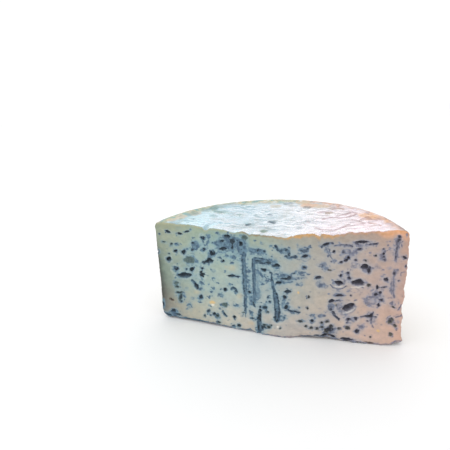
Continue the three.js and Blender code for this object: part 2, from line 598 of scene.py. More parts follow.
STEP = 0.25
U_AXIS = np.arange(-110.0, 104.0 + 1e-6, STEP)
V_AXIS = np.arange(-4.0, 98.0 + 1e-6, STEP)
UU, VV = np.meshgrid(U_AXIS, V_AXIS)  # rows are V
UU, VV = UU.astype(np.float32), VV.astype(np.float32)

MAPS = {n: np.zeros_like(UU) for n in ("mould", "hole", "olive", "yellow", "brown", "white", "lip", "pale")}
DEPTH = np.zeros_like(UU)

WARP_A = np.stack([noise2(UU / 3.1, VV / 2.6, 11), noise2(UU / 3.1, VV / 2.6, 12)])
WARP_B = np.stack([noise2(UU / 1.25, VV / 1.05, 13), noise2(UU / 1.25, VV / 1.05, 14)])
BREAK_A = fbm2(UU, VV, 2.4, 21, 3, 0.6)
BREAK_B = fbm2(UU * 0.75, VV, 1.3, 27, 2, 0.6)


def lay(name, window, amount):
    part = MAPS[name][window]
    np.maximum(part, amount, out=part)


def add(name, window, amount):
    part = MAPS[name][window]
    part[...] = 1 - (1 - part) * (1 - amount)


def window_of(u0, u1, v0, v1):
    i0 = max(0, int((v0 - V_AXIS[0]) / STEP)); i1 = min(len(V_AXIS), int((v1 - V_AXIS[0]) / STEP) + 2)
    j0 = max(0, int((u0 - U_AXIS[0]) / STEP)); j1 = min(len(U_AXIS), int((u1 - U_AXIS[0]) / STEP) + 2)
    return slice(i0, i1), slice(j0, j1)


def spot(kind, u, v, a, b, turn):
    reach = max(a, b) * 1.6 + 2.5
    w = window_of(u - reach, u + reach, v - reach, v + reach)
    if UU[w].size == 0:
        return
    c, s = math.cos(math.radians(turn)), math.sin(math.radians(turn))
    rough = min(0.32 * b + 0.14, 0.9) * (0.6 if kind == "H" and a > 2.2 * b else 1.0)
    fine = min(0.18 * b + 0.10, 0.36)
    x = UU[w] - u + rough * WARP_A[0][w] + fine * WARP_B[0][w]
    y = VV[w] - v + rough * WARP_A[1][w] + fine * WARP_B[1][w]
    p, q = (c * x + s * y) / a, (-s * x + c * y) / b
    if kind in "Hh" and a > 1.7 * b:
        # an eye with drawn-out corners
        e = np.sqrt(np.abs(p) ** 2 + np.abs(q / np.maximum(0.35, 1 - 0.40 * np.minimum(np.abs(p), 1.3) ** 2.2)) ** 2)
    else:
        e = np.sqrt(p * p + q * q)
    soft = 0.30 / max(b, 0.5)
    body = 1 - step(1 - soft, 1 + soft, e)
    core = 1 - step(0.62 - soft, 0.62 + soft, e)
    halo = 1 - step(0.95, 1.0 + 1.25 / max(b, 0.6), e + 0.25 * BREAK_A[w])
    if kind in "HBX" and b > 0.9:
        add("pale", w, min(0.55, 0.30 * b) * step(1.0, 1.15 + 0.5 / max(b, 0.6), e) * (1 - step(1.15 + 0.9 / max(b, 0.6), 1.2 + 2.0 / max(b, 0.6), e)) * step(-0.5, 0.3, BREAK_A[w]))
    if kind == "H":
        shade = np.clip(0.92 + (0.30 if b > 1.0 else 0.12) * q, 0.5, 1.0)
        add("hole", w, body * shade * (0.90 + 0.2 * BREAK_B[w]).clip(0, 1))
        add("mould", w, 0.72 * halo * (0.75 + 0.35 * BREAK_A[w]).clip(0, 1))
        deep = min(1.30 * b + 0.60, 5.0)
        # the roof of an eye drops steeply, its floor rises to the lower lip
        slope = np.clip(0.62 + 0.38 * q, 0.25, 1.0)
        bowl = np.sqrt(np.clip(1 - (e / 1.08) ** 2, 0, 1)) * slope
        np.maximum(DEPTH[w], deep * bowl, out=DEPTH[w])
        # the lower half of a larger eye is marked paler: partly blue-grey mould, partly painted light on the floor that
        # faces up
        if b > 1.1:
            lip = body * step(-0.05, -0.95, q)
            add("lip", w, lip * min(1, (b - 0.8)))
    elif kind == "h":
        add("hole", w, 0.55 * body)
        add("mould", w, 0.6 * halo)
        np.maximum(DEPTH[w], min(0.6 * b + 0.3, 1.5) * np.sqrt(np.clip(1 - e * e, 0, 1)), out=DEPTH[w])
    elif kind == "B":
        broken = step(-0.55, 0.25, BREAK_A[w] + 0.5 * BREAK_B[w] + 0.5 * (0.7 - e))
        add("mould", w, 0.9 * body * (0.45 + 0.55 * broken))
        dark = core * step(-0.25, 0.3, BREAK_B[w] - 0.35 * BREAK_A[w] + 0.35)
        add("hole", w, 0.72 * dark)
        np.maximum(DEPTH[w], (0.5 * b + 0.35) * np.sqrt(np.clip(1 - (e / 0.8) ** 2, 0, 1)) * (0.4 + 0.6 * dark), out=DEPTH[w])
    elif kind == "X":
        arms = np.minimum(np.abs(p), np.abs(q))
        cross = (1 - step(0.22, 0.42, arms)) * (1 - step(0.85, 1.15, e))
        add("mould", w, 0.8 * (1 - step(0.5, 1.1, e)) * 0.8 + 0 * cross)
        add("hole", w, 0.8 * cross)
        np.maximum(DEPTH[w], 1.0 * cross, out=DEPTH[w])
    elif kind == "M":
        broken = step(-0.6, 0.2, BREAK_A[w] + 0.5 * BREAK_B[w] + 0.45 * (0.75 - e))
        add("mould", w, 0.82 * body * (0.35 + 0.65 * broken))
        speck = core * step(0.10, 0.45, BREAK_B[w] - 0.4 * BREAK_A[w])
        add("hole", w, 0.42 * speck)
        np.maximum(DEPTH[w], 0.35 * core * min(b, 1.6), out=DEPTH[w])
    elif kind == "m":
        add("mould", w, 0.42 * body * (0.6 + 0.4 * step(-0.5, 0.4, BREAK_A[w])))
    elif kind == "R":
        ring = step(0.55, 0.85, e) * (1 - step(1.0, 1.0 + soft, e))
        add("mould", w, 0.62 * ring * (0.65 + 0.5 * BREAK_A[w]).clip(0, 1))
        np.maximum(DEPTH[w], 0.3 * body, out=DEPTH[w])
    elif kind in "Gg":
        big = kind == "g"
        add("olive", w, (0.62 if big else 0.80) * body)
        add("mould", w, (0.62 if big else 0.50) * halo * (0.55 + 0.45 * step(-0.4, 0.4, BREAK_A[w])))
        if big:
            add("hole", w, 0.30 * (1 - step(0.4, 1.0, e)))
        else:
            add("hole", w, 0.74 * (1 - step(0.5, 1.0, e)) * (0.4 + 0.6 * step(-0.5, 0.2, BREAK_B[w] + 0.5 * BREAK_A[w])))
        np.maximum(DEPTH[w], 0.6 * min(b, 1.3) * np.sqrt(np.clip(1 - e * e, 0, 1)), out=DEPTH[w])
    elif kind == "N":
        add("brown", w, 0.8 * body)
        add("hole", w, 0.55 * core)
        np.maximum(DEPTH[w], 0.6 * min(b, 1.3) * np.sqrt(np.clip(1 - e * e, 0, 1)), out=DEPTH[w])
    elif kind == "Y":
        add("yellow", w, 0.9 * (1 - step(0.5, 1.2, e)))
    elif kind == "y":
        add("yellow", w, 0.26 * (1 - step(0.2, 1.25, e)))
    elif kind == "p":
        add("white", w, 0.42 * (1 - step(0.5, 1.15, e)))
    elif kind == "W":
        add("white", w, 0.85 * (1 - step(0.5, 1.2, e)))
        DEPTH[w] -= 0.45 * np.clip(1 - e * e, 0, 1)


def stroke(kind, width, points):
    pts = np.array(points, float)
    reach = width + 3.0
    w = window_of(pts[:, 0].min() - reach, pts[:, 0].max() + reach, pts[:, 1].min() - reach, pts[:, 1].max() + reach)
    rough = 0.38 + 0.16 * width if kind != "C" else 0.30 + 0.07 * width
    x = UU[w] + rough * WARP_A[0][w] * 0.8 + 0.14 * WARP_B[0][w]
    y = VV[w] + rough * WARP_A[1][w] * 0.8 + 0.14 * WARP_B[1][w]
    best = np.full(x.shape, 1e9, np.float32)
    for (ax, ay), (bx, by) in zip(pts[:-1], pts[1:]):
        dx, dy = bx - ax, by - ay
        t = np.clip(((x - ax) * dx + (y - ay) * dy) / max(dx * dx + dy * dy, 1e-6), 0, 1)
        best = np.minimum(best, np.hypot(x - ax - t * dx, y - ay - t * dy))
    ragged = 0.5 if kind == "C" else 1.0
    e = best / (width / 2) / (1.0 + ragged * (0.38 * BREAK_A[w] + 0.22 * BREAK_B[w]))
    soft = 0.32 / (width / 2)
    body = 1 - step(1 - soft, 1 + soft, e)
    if kind == "L":
        broken = step(-0.75, 0.1, BREAK_A[w] + 0.5 * BREAK_B[w])
        add("mould", w, 0.85 * body * (0.5 + 0.5 * broken))
        edge = body * step(0.35, 0.9, e) * step(-0.2, 0.4, BREAK_B[w] + BREAK_A[w])
        add("hole", w, 0.30 * edge)
        np.maximum(DEPTH[w], 0.55 * (1 - step(0.3, 1.1, e)), out=DEPTH[w])
    elif kind == "C":
        halo = 1 - step(0.9, 1.0 + 1.4 / width, e)
        add("mould", w, 0.88 * halo * (0.62 + 0.38 * step(-0.6, 0.2, BREAK_A[w] + 0.5 * BREAK_B[w])))
        edge = body * step(0.25, 0.8, e) * step(-0.45, 0.35, BREAK_A[w] - 0.4 * BREAK_B[w]) * np.where(x < np.interp(y, *zip(*sorted((pt[1], pt[0]) for pt in points))), 1.0, 0.55)
        add("hole", w, 0.50 * edge + 0.05 * body)
        add("pale", w, 0.4 * step(1.2, 1.5, e) * (1 - step(1.7, 2.6, e)))
        np.maximum(DEPTH[w], (0.5 + 0.30 * width) * np.sqrt(np.clip(1 - (e / 1.1) ** 2, 0, 1)), out=DEPTH[w])
    elif kind == "P":
        add("white", w, 0.42 * body)
    else:
        halo = 1 - step(1.0, 1.0 + 1.0 / width, e)
        add("mould", w, 0.80 * halo)
        keep = 0.25 + 0.75 * step(-0.40, 0.30, BREAK_A[w] + 0.5 * BREAK_B[w])
        add("hole", w, (0.72 if width > 1.9 else 0.56) * body * keep)
        np.maximum(DEPTH[w], (0.45 + 0.35 * width) * np.sqrt(np.clip(1 - e * e, 0, 1)), out=DEPTH[w])


taken = []
for line in FEATURES.strip().splitlines():
    if ":" in line:
        head, tail = line.split(":")
        kind, width = head.split()
        stroke(kind, float(width), [tuple(float(n) for n in p.split(",")) for p in tail.split()])
    else:
        kind, *numbers = line.split()
        numbers = [float(n) for n in numbers]
        spot(kind, *numbers)

# Broken satellites round the larger marks
rs = np.random.RandomState(9)
for line in FEATURES.strip().splitlines():
    if ":" in line:
        head, tail = line.split(":")
        kind, width = head.split()
        pts = [tuple(float(n) for n in p.split(",")) for p in tail.split()]
        for (ax, ay), (bx, by) in zip(pts[:-1], pts[1:]):
            length = math.hypot(bx - ax, by - ay)
            for _ in range(int(length / 3.2 + rs.rand())):
                f, side_, off = rs.rand(), rs.choice([-1, 1]), float(width) * 0.5 + rs.uniform(0.1, 1.6)
                nx_, ny_ = -(by - ay) / max(length, 0.1), (bx - ax) / max(length, 0.1)
                spot("mMm"[rs.randint(3)], ax + f * (bx - ax) + side_ * off * nx_, ay + f * (by - ay) + side_ * off * ny_, rs.uniform(0.5, 1.3), rs.uniform(0.4, 0.9), rs.normal(0, 30))
        continue
    kind, *numbers = line.split()
    u, v, a, b, turn = [float(n) for n in numbers]
    if kind not in "HBMXgGR" or a * b < 0.9:
        continue
    for _ in range(int(1.2 + 0.9 * math.sqrt(a * b) + rs.rand())):
        ang, far = rs.uniform(0, 2 * np.pi), rs.uniform(1.05, 1.75)
        c, s = math.cos(math.radians(turn)), math.sin(math.radians(turn))
        p, q = a * far * math.cos(ang), (b * far + 0.4) * math.sin(ang)
        spot("mmMm"[rs.randint(4)], u + c * p - s * q, v + s * p + c * q, rs.uniform(0.5, 1.0) * min(1.8, 0.5 + 0.5 * b), rs.uniform(0.4, 0.8) * min(1.3, 0.5 + 0.4 * b), turn + rs.normal(0, 25))

# Small flecks and pin-holes between the larger marks
rs = np.random.RandomState(5)
crowd = blur(np.maximum(MAPS["mould"], MAPS["hole"]), 2.2 / STEP)
for _ in range(760):
    u, v = rs.uniform(-101, 95), rs.uniform(3, 85)
    kind = "mmmmmhM"[rs.randint(7)]
    a = rs.uniform(0.35, 1.0) * (1.25 if kind == "m" else 0.75)
    b = a * rs.uniform(0.55, 0.95)
    turn = rs.normal(0, 22)
    i, j = int((v - V_AXIS[0]) / STEP), int((u - U_AXIS[0]) / STEP)
    if crowd[i, j] < 0.32 and rs.rand() < 0.25 + 1.6 * crowd[i, j]:
        spot(kind, u, v, a, b, turn)

# Marbling: thin broken veins that follow the crowded places
crowd = blur(np.maximum(MAPS["mould"], MAPS["hole"]), 2.6 / STEP)
vein = 1 - np.abs(fbm2(UU * 0.8, VV, 5.2, 31, 3, 0.55)) / 0.16
blot = step(0.12, 0.5, fbm2(UU * 0.7, VV * 1.1, 3.0, 35, 3, 0.55))
MARBLE = np.clip(np.maximum(0.55 * np.clip(vein, 0, 1), 0.75 * blot), 0, 1) * step(0.05, 0.42, crowd)
MAPS["mould"] = 1 - (1 - MAPS["mould"]) * (1 - 0.62 * MARBLE)
MAPS["hole"] = 1 - (1 - MAPS["hole"]) * (1 - 0.30 * step(0.45, 0.95, MARBLE) * step(0.0, 0.4, BREAK_B))
DEPTH += 0.16 * MARBLE

# Blue haze in the paste round the veins
NEAR = blur(np.maximum(MAPS["mould"], MAPS["hole"]), 0.9 / STEP)
HAZE = np.clip(0.62 * NEAR + 0.95 * blur(MAPS["mould"], 2.8 / STEP), 0, 1)
CLOUDS = step(-0.15, 0.55, fbm2(UU * 0.8, VV, 7.0, 37, 3, 0.6)) * np.interp(UU, [-104, -90, -60, 10, 40, 104], [0.35, 0.8, 1.0, 0.9, 0.45, 0.35])
MAPS["haze"] = 1 - (1 - HAZE) * (1 - 0.34 * CLOUDS)

# Knife smear: long low streaks across the cut, and a slight swell of the soft paste
SMEAR = 0.22 * fbm2(UU, VV, 26, 41, 2) + 0.10 * noise2(UU / 19, VV / 2.6, 45) + 0.05 * noise2(UU / 11, VV / 1.3, 46)
CRUMB = 0.07 * fbm2(UU, VV, 2.0, 51, 2, 0.7)
DEPTH += SMEAR + CRUMB + 0.05

# ---------------------------------------------------------------- outline of the cut
# Height of the front lip of the top above the dished section, along U
TOP_LIP = np.array([(-104, -0.8), (-100.9, -0.9), (-94, -0.6), (-88.0, -0.3), (-82.8, -0.4), (-72.3, 0.8), (-64.0, 0.9), (-59.0, 0.4), (-56.8, -1.9), (-54.6, -1.7), (-52.3, 0.4), (-46.9, 1.2), (-39.9, 1.3), (-35.2, 0.5), (-31.4, -0.3), (-27.1, 1.2), (-22.6, 2.4), (-20.5, 1.2), (-18.0, -0.3), (-15.1, 0.8), (-9.8, 1.0), (-4.2, 1.0), (1.2, 0.6), (6.5, -0.3), (11.0, -0.7), (12.9, -0.8), (14.7, 0.4), (19.2, 1.2), (22.8, 1.6), (26.5, 1.9), (31.6, 1.7), (34.1, 0.4), (35.9, -0.5), (36.9, 1.2), (39.4, 0.9), (43.4, -0.2), (45.5, -0.7), (48.7, 0.3), (52.9, -0.1), (55.6, 1.2), (58.0, 1.6), (61.8, 0.5), (64.6, 0.8), (68.0, 0.2), (72.0, 0.8), (76.1, 0.9), (79.5, -0.1), (82.7, 0.7), (87.3, 0.7), (91.9, 0.5), (94.8, 0.3), (98, 0.4)])
# Where the lower edge of the cut meets the ground line: above 0 it has crumbled back, below 0 it is pressed outwards
LIFT = np.array([(-104, 0.8), (-101, 0.2), (-98, 0.2), (-95.5, 2.0), (-91.5, 2.3), (-88.5, 0.8), (-80, 1.4), (-67, 1.3), (-55, 1.2), (-46, 0.8), (-38, 0.2), (-29, 0.0), (-23, 0.6), (-20, 1.8), (-16, 0.2), (13, 0.0), (17, 0.4), (24, 0.5), (29, 1.2), (33, 1.1), (37, 1.0), (41, 2.2), (45, 0.7), (52, 0.3), (55, 0.3), (58, 1.1), (62, 0.1), (82, 0.1), (90, 0.7), (93, 2.0), (98, 2.2)])
FOOT = np.array([(-104, 0.6), (-85.9, 0.8), (-67.2, 1.0), (-47.9, 0.7), (-29.4, 0.25), (-24, 0.5), (-20.3, 1.0), (-16, 0.3), (-11.6, -0.9), (-7, -0.6), (-2.9, -0.3), (5.3, -0.9), (13.4, -1.1), (17.5, 0.2), (21.4, 1.1), (29, 1.5), (37.1, 1.4), (44, 0.8), (49, 0.9), (52.5, 0.0), (60, -0.9), (67.6, -1.3), (75, -1.4), (82.4, -1.6), (90, -1.2), (98, -0.8)])

foot = np.interp(UU, FOOT[:, 0], FOOT[:, 1]) + 0.22 * noise2(UU / 3.2, VV / 9, 61)
back = np.clip(foot, 0, None) * 1.15 * np.clip(1 - VV / 5.0, 0, 1) ** 1.7
out = np.clip(-foot, 0, None) * 1.45 * np.clip(1 - VV / 9.0, 0, 1) ** 1.6
DEPTH += back - out
# a shallow hollow where mould has eaten the lower edge
DEPTH += 0.9 * np.exp(-((UU - 43.5) / 4.5) ** 2 - ((VV - 4.5) / 4.0) ** 2)


def sample(a, u, v):
    """A map of the cut at points (u, v)."""
    x = np.clip((u - U_AXIS[0]) / STEP, 0, a.shape[1] - 1.001)
    y = np.clip((v - V_AXIS[0]) / STEP, 0, a.shape[0] - 1.001)
    i, j = y.astype(np.int32), x.astype(np.int32)
    fy, fx = (y - i).astype(np.float32), (x - j).astype(np.float32)
    return (a[i, j] * (1 - fx) + a[i, j + 1] * fx) * (1 - fy) + (a[i + 1, j] * (1 - fx) + a[i + 1, j + 1] * fx) * fy


# ---------------------------------------------------------------- skin of the wheel: heights and radii
def front_plane(x, y):
    """How far (x, y) lies in front of the cut, negative inside, and its place U along it."""
    dl = (x - CREASE[0]) * OUT_L[0] + (y - CREASE[1]) * OUT_L[1]
    dr = (x - CREASE[0]) * OUT_R[0] + (y - CREASE[1]) * OUT_R[1]
    k = 1.2
    h = np.clip(0.5 + 0.5 * (dl - dr) / k, 0, 1)
    d = dr * (1 - h) + dl * h + k * h * (1 - h)
    ul = (x - CREASE[0]) * DIR_L[0] + (y - CREASE[1]) * DIR_L[1]
    ur = (x - CREASE[0]) * DIR_R[0] + (y - CREASE[1]) * DIR_R[1]
    return d, np.where(x < CREASE[0], np.minimum(ul, 0), np.maximum(ur, 0))


# Pits and dents in the top: x, y, radius, depth
TOP_DENTS = [(-3.1, -17.8, 2.0, 0.9), (-22.3, -28.3, 1.4, 0.7), (-5.8, -41.4, 2.2, 0.6), (20, -30, 1.2, 0.5), (40.6, 7.6, 2.6, 0.7), (-51.4, -2.9, 3.0, 0.6), (-35.6, -6.1, 2.0, 0.5), (15.0, 12.0, 1.8, 0.6), (-40, 22, 2.4, 0.7), (60, -20, 1.5, 0.5), (-70, -30, 1.6, 0.5), (30, -12, 1.1, 0.6), (-12, 6, 1.3, 0.6)]


def ridged(n):
    return 1 - 2 * np.abs(n)


def top_relief(x, y):
    """Relief of the top skin: soft swells, wrinkles of the moist rind, dents."""
    wx = x + 3.0 * noise2(x / 17, y / 17, 71) + 1.0 * noise2(x / 6, y / 6, 72)
    wy = y + 3.0 * noise2(x / 17, y / 17, 73) + 1.0 * noise2(x / 6, y / 6, 74)
    swell = 0.55 * fbm2(x, y, 42, 75, 2)
    # wrinkles run mostly along x, and fan towards the right-hand end
    tilt = 0.28 * (x / 100.0)
    ax, ay = wx * 0.62 + wy * tilt * 0.4, wy - wx * tilt
    fold = -0.32 * ridged(noise2(ax / 9.0, ay / 8.0, 76)) - 0.16 * ridged(noise2(ax / 4.2, ay / 4.0, 77)) + 0.06 * noise2(ax / 1.9, ay / 1.8, 78)
    calm = (0.35 + 0.65 * step(-0.3, 0.5, noise2(x / 30, y / 24, 79) + 0.4 * x / 100)) * (0.70 + 0.45 * step(-20, 45, x))
    relief = swell + fold * calm
    for cx, cy, r, d in TOP_DENTS:
        relief = relief - d * np.exp(-(((x - cx) / r) ** 2 + ((y - cy) / (r * 1.1)) ** 2))
    return relief


def top_creases(x, y):
    """1 on the floor of a crease of the top skin."""
    wx = x + 3.0 * noise2(x / 17, y / 17, 71) + 1.0 * noise2(x / 6, y / 6, 72)
    wy = y + 3.0 * noise2(x / 17, y / 17, 73) + 1.0 * noise2(x / 6, y / 6, 74)
    tilt = 0.28 * (x / 100.0)
    ax, ay = wx * 0.62 + wy * tilt * 0.4, wy - wx * tilt
    a = np.exp(-(noise2(ax / 9.0, ay / 8.0, 76) / 0.07) ** 2)
    b = np.exp(-(noise2(ax / 4.2, ay / 4.0, 77) / 0.09) ** 2)
    keep = step(-0.1, 0.5, noise2(x / 13, y / 13, 83) + 0.25 * x / 100)
    return np.maximum(a, 0.6 * b) * keep


def top_height(x, y):
    r = np.hypot(x, y - WHEEL_Y)
    base = RIM_H - DISH * (1 - (np.minimum(r, 91.9) / 91.9) ** 1.25)
    d, u = front_plane(x, y)
    lip = np.interp(u, TOP_LIP[:, 0], TOP_LIP[:, 1]) + 0.25 * ridged(noise2(u / 6.5, d / 13, 80)) - 0.10 + 0.38 * noise2(u / 2.9, d / 9, 81) + 0.30 * noise2(u / 1.3, d / 6, 82)
    near = np.exp(np.minimum(d, 0) / 5.5)
    rel = top_relief(x, y)
    rim = step(80, 96, r)
    rel = rel * (1 - 0.45 * rim) - 0.30 * rim
    return base + rel * (1 - 0.55 * near) + lip * near - 0.10


# Sideways deviation of the wall from the wheel near the two ends of the cut, against height
LEFT_END = np.array([(0, 0.2), (4, -0.9), (8, -1.5), (14.7, -1.5), (21, -0.7), (33, -0.3), (44.6, -0.3), (55, -0.4), (65.3, -0.6), (80, -0.5), (84, -0.6), (87, -1.3), (92, -1.3)])
RIGHT_END = np.array([(0, -2.4), (3.3, -1.9), (8, -0.6), (13.4, -0.4), (18, 0.2), (23.9, -0.5), (28, 0.5), (31.8, 0.8), (36, 0.1), (41.7, -0.7), (46, 0.1), (51.3, -0.2), (57.7, -0.9), (66, -0.9), (73.2, -1.5), (80, -1.1), (86.7, -1.5), (92, -1.5)])


def wall_inset(theta, z):
    """How far the wall lies inside the plain wheel, in mm. theta 0 is +x, pi is -x."""
    arc = theta * WHEEL_R
    ends = np.exp(-(theta * WHEEL_R / 14) ** 2) + np.exp(-((math.pi - theta) * WHEEL_R / 14) ** 2)
    lumps = (0.50 + 0.38 * noise2(arc / 31, z / 23, 91) + 0.26 * noise2(arc / 11, z / 9, 92)) * (1 - 0.85 * ends)
    skin = 0.20 * ridged(noise2(arc / 4.2 + 0.4 * noise2(arc / 9, z / 9, 93), z / 3.1, 94)) + 0.10 * noise2(arc / 1.7, z / 1.5, 95)
    left = np.interp(z, LEFT_END[:, 0], LEFT_END[:, 1]) * np.exp(-((math.pi - theta) * WHEEL_R / 16) ** 2)
    right = (np.interp(z, RIGHT_END[:, 0], RIGHT_END[:, 1]) + 0.35 * noise2(z / 2.7, arc / 8, 96)) * np.exp(-(theta * WHEEL_R / 12) ** 2)
    return lumps + skin + left + right


def bottom_height(x, y):
    """The under side: flat where it rests, worn up under the left-hand corner and where the lower edge has crumbled."""
    r = np.hypot(x, y - WHEEL_Y)
    theta = np.arctan2(y - WHEEL_Y, x)
    side = np.exp(-((math.pi - np.abs(theta)) * WHEEL_R / 26) ** 2)
    lift = 0.9 * step(88, 99, r) * (1 - 0.7 * side)
    d, u = front_plane(x, y)
    crumbled = np.clip(np.interp(u, FOOT[:, 0], FOOT[:, 1]) + 0.35 * noise2(u / 2.4, d / 5, 98), 0, None)
    lift = lift + 0.55 * crumbled * np.exp(np.minimum(d, 0) / 2.2)
    lift = lift + np.clip(np.interp(u, LIFT[:, 0], LIFT[:, 1]) + 0.25 * noise2(u / 1.7, d / 5, 97), 0, None) * np.exp(np.minimum(d, 0) / 3.0)
    lift = lift + np.clip(0.5 * noise2(x / 9, y / 9, 99) - 0.12, 0, None) * step(60, 95, r)
    return lift


# ---------------------------------------------------------------- signed distance on the grid
xs = np.arange(-101.8, 101.8 + 1e-6, CELL)
fine_y = np.arange(-57.2, -38.0, CELL)
ys = np.concatenate([fine_y, np.arange(fine_y[-1] + CELL * 2.1, 56.0, CELL * 2.1)])
zs = np.arange(-0.6, 94.6, CELL)
nx, ny, nz = len(xs), len(ys), len(zs)
X2, Y2 = np.meshgrid(xs, ys, indexing="ij")
R2 = np.hypot(X2, Y2 - WHEEL_Y)
TH2 = np.abs(np.arctan2(Y2 - WHEEL_Y, X2))
ZT2, ZB2 = top_height(X2, Y2), bottom_height(X2, Y2)
FP2, FU2 = front_plane(X2, Y2)


def top_fillet(theta):
    """Radius of the upper corner of the wheel, tighter at the two ends of the cut."""
    left = np.exp(-((math.pi - theta) * WHEEL_R / 22) ** 2)
    right = np.exp(-(theta * WHEEL_R / 26) ** 2)
    return FILLET_TOP - 1.9 * left - 3.3 * right


def foot_fillet(theta):
    """Radius of the lower corner of the wheel: broad at the left-hand end, nearly sharp at the right-hand end."""
    left = np.exp(-((math.pi - theta) * WHEEL_R / 30) ** 2)
    right = np.exp(-(theta * WHEEL_R / 22) ** 2)
    return 6.0 - 1.6 * left - 4.2 * right


# wall insets on a grid of angle and height
TH_AXIS = np.linspace(0, math.pi, 1801)
WALL = wall_inset(*np.meshgrid(TH_AXIS, zs, indexing="ij"))
ti = np.clip(TH2 / math.pi * 1800, 0, 1799.999)
t0 = ti.astype(np.int32)
tf = (ti - t0).astype(np.float32)[:, :, None]
inset = (WALL[t0] * (1 - tf) + WALL[t0 + 1] * tf).astype(np.float32)

Z3 = zs[None, None, :].astype(np.float32)
belly = (WHEEL_R - 0.6 * (2 * Z3 / RIM_H - 1) ** 2).astype(np.float32)
dw = R2[:, :, None].astype(np.float32) - belly + inset
dt = (Z3 - ZT2[:, :, None].astype(np.float32)) * 0.985
db = ZB2[:, :, None].astype(np.float32) - Z3


def rounded(a, b, r):
    p, q = a + r, b + r
    return np.minimum(np.maximum(p, q), 0) + np.sqrt(np.maximum(p, 0) ** 2 + np.maximum(q, 0) ** 2) - r


half = int(np.searchsorted(zs, 46.0))
field = np.empty((nx, ny, nz), np.float32)
fil = foot_fillet(TH2)[:, :, None].astype(np.float32)
field[:, :, :half] = rounded(dw[:, :, :half], db[:, :, :half], fil)
field[:, :, half:] = rounded(dw[:, :, half:], dt[:, :, half:], top_fillet(TH2)[:, :, None].astype(np.float32))
del dw, dt, db, inset, belly

# the cut, with everything carved into it
near_front = int(np.searchsorted(ys, -36.0))
U3 = np.repeat(FU2[:, :near_front, None], nz, 2)
V3 = np.broadcast_to(Z3, U3.shape)
df = FP2[:, :near_front, None].astype(np.float32) + sample(DEPTH, U3, V3)
a = field[:, :near_front]
k = np.float32(0.9)
h = np.maximum(k - np.abs(a - df), 0) / k
field[:, :near_front] = np.maximum(a, df) + h * h * k * 0.25
del U3, V3, df, a, h


def unpinch(s, f):
    """Opens cell sides whose corners alternate, so that no edge of the mesh is shared by four faces."""
    for _ in range(12):
        changed = 0
        for ax in range(3):
            o1, o2 = [b for b in range(3) if b != ax]

            def cut(da, db_):
                sl = [slice(None)] * 3
                sl[o1] = slice(da, s.shape[o1] - 1 + da)
                sl[o2] = slice(db_, s.shape[o2] - 1 + db_)
                return tuple(sl)

            a, b, c, d = s[cut(0, 0)], s[cut(1, 1)], s[cut(1, 0)], s[cut(0, 1)]
            for bad, at in ((a & b & ~c & ~d, cut(0, 0)), (c & d & ~a & ~b, cut(1, 0))):
                if bad.any():
                    f[at][bad] = 0.02
                    s[at][bad] = False
                    changed += int(bad.sum())
        if not changed:
            break
    return changed


def surface(f):
    """Closed quad mesh of f = 0: one vertex in each cell that the surface crosses."""
    s = f < 0
    unpinch(s, f)
    n = s[:-1, :-1, :-1].astype(np.int8)
    for da in (0, 1):
        for dbb in (0, 1):
            for dc in (0, 1):
                if da or dbb or dc:
                    n = n + s[da:nx - 1 + da, dbb:ny - 1 + dbb, dc:nz - 1 + dc]
    idx = np.flatnonzero((n > 0) & (n < 8))
    i, j, kk = np.unravel_index(idx, n.shape)
    val = {}
    for da in (0, 1):
        for dbb in (0, 1):
            for dc in (0, 1):
                val[da, dbb, dc] = f[i + da, j + dbb, kk + dc].astype(np.float64)
    acc, cnt = np.zeros((len(idx), 3)), np.zeros(len(idx))
    corners = list(val)
    for a in corners:
        for b in corners:
            if a < b and sum(abs(p - q) for p, q in zip(a, b)) == 1:
                fa, fb = val[a], val[b]
                m = (fa < 0) != (fb < 0)
                t = fa[m] / (fa[m] - fb[m])
                pa = np.stack([xs[i[m] + a[0]], ys[j[m] + a[1]], zs[kk[m] + a[2]]], 1)
                pb = np.stack([xs[i[m] + b[0]], ys[j[m] + b[1]], zs[kk[m] + b[2]]], 1)
                acc[m] += pa + t[:, None] * (pb - pa)
                cnt[m] += 1
    verts = acc / cnt[:, None]
    vid = np.full(n.size, -1, np.int32)
    vid[idx] = np.arange(len(idx))
    vid = vid.reshape(n.shape)
    faces = []
    m = s[:-1, 1:-1, 1:-1] != s[1:, 1:-1, 1:-1]
    I, J, K = np.nonzero(m); J += 1; K += 1
    q = np.stack([vid[I, J - 1, K - 1], vid[I, J, K - 1], vid[I, J, K], vid[I, J - 1, K]], 1)
    faces.append(np.where(s[I, J, K][:, None], q, q[:, ::-1]))
    m = s[1:-1, :-1, 1:-1] != s[1:-1, 1:, 1:-1]
    I, J, K = np.nonzero(m); I += 1; K += 1
    q = np.stack([vid[I - 1, J, K - 1], vid[I - 1, J, K], vid[I, J, K], vid[I, J, K - 1]], 1)
    faces.append(np.where(s[I, J, K][:, None], q, q[:, ::-1]))
    m = s[1:-1, 1:-1, :-1] != s[1:-1, 1:-1, 1:]
    I, J, K = np.nonzero(m); I += 1; J += 1
    q = np.stack([vid[I - 1, J - 1, K], vid[I, J - 1, K], vid[I, J, K], vid[I - 1, J, K]], 1)
    faces.append(np.where(s[I, J, K][:, None], q, q[:, ::-1]))
    return verts, np.concatenate(faces)


VERTS, FACES = surface(field)
del field


def largest_part(verts, faces):
    """Keeps the biggest connected shell."""
    label = np.arange(len(verts))
    edges = np.concatenate([faces[:, [0, 1]], faces[:, [1, 2]], faces[:, [2, 3]], faces[:, [3, 0]]])
    while True:
        low = np.minimum(label[edges[:, 0]], label[edges[:, 1]])
        new = label.copy()
        np.minimum.at(new, edges[:, 0], low)
        np.minimum.at(new, edges[:, 1], low)
        new = new[new]
        new = new[new]
        if (new == label).all():
            break
        label = new
    keep = label == np.bincount(label).argmax()
    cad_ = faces[keep[faces[:, 0]]]
    renumber = np.cumsum(keep) - 1
    return verts[keep], renumber[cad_]


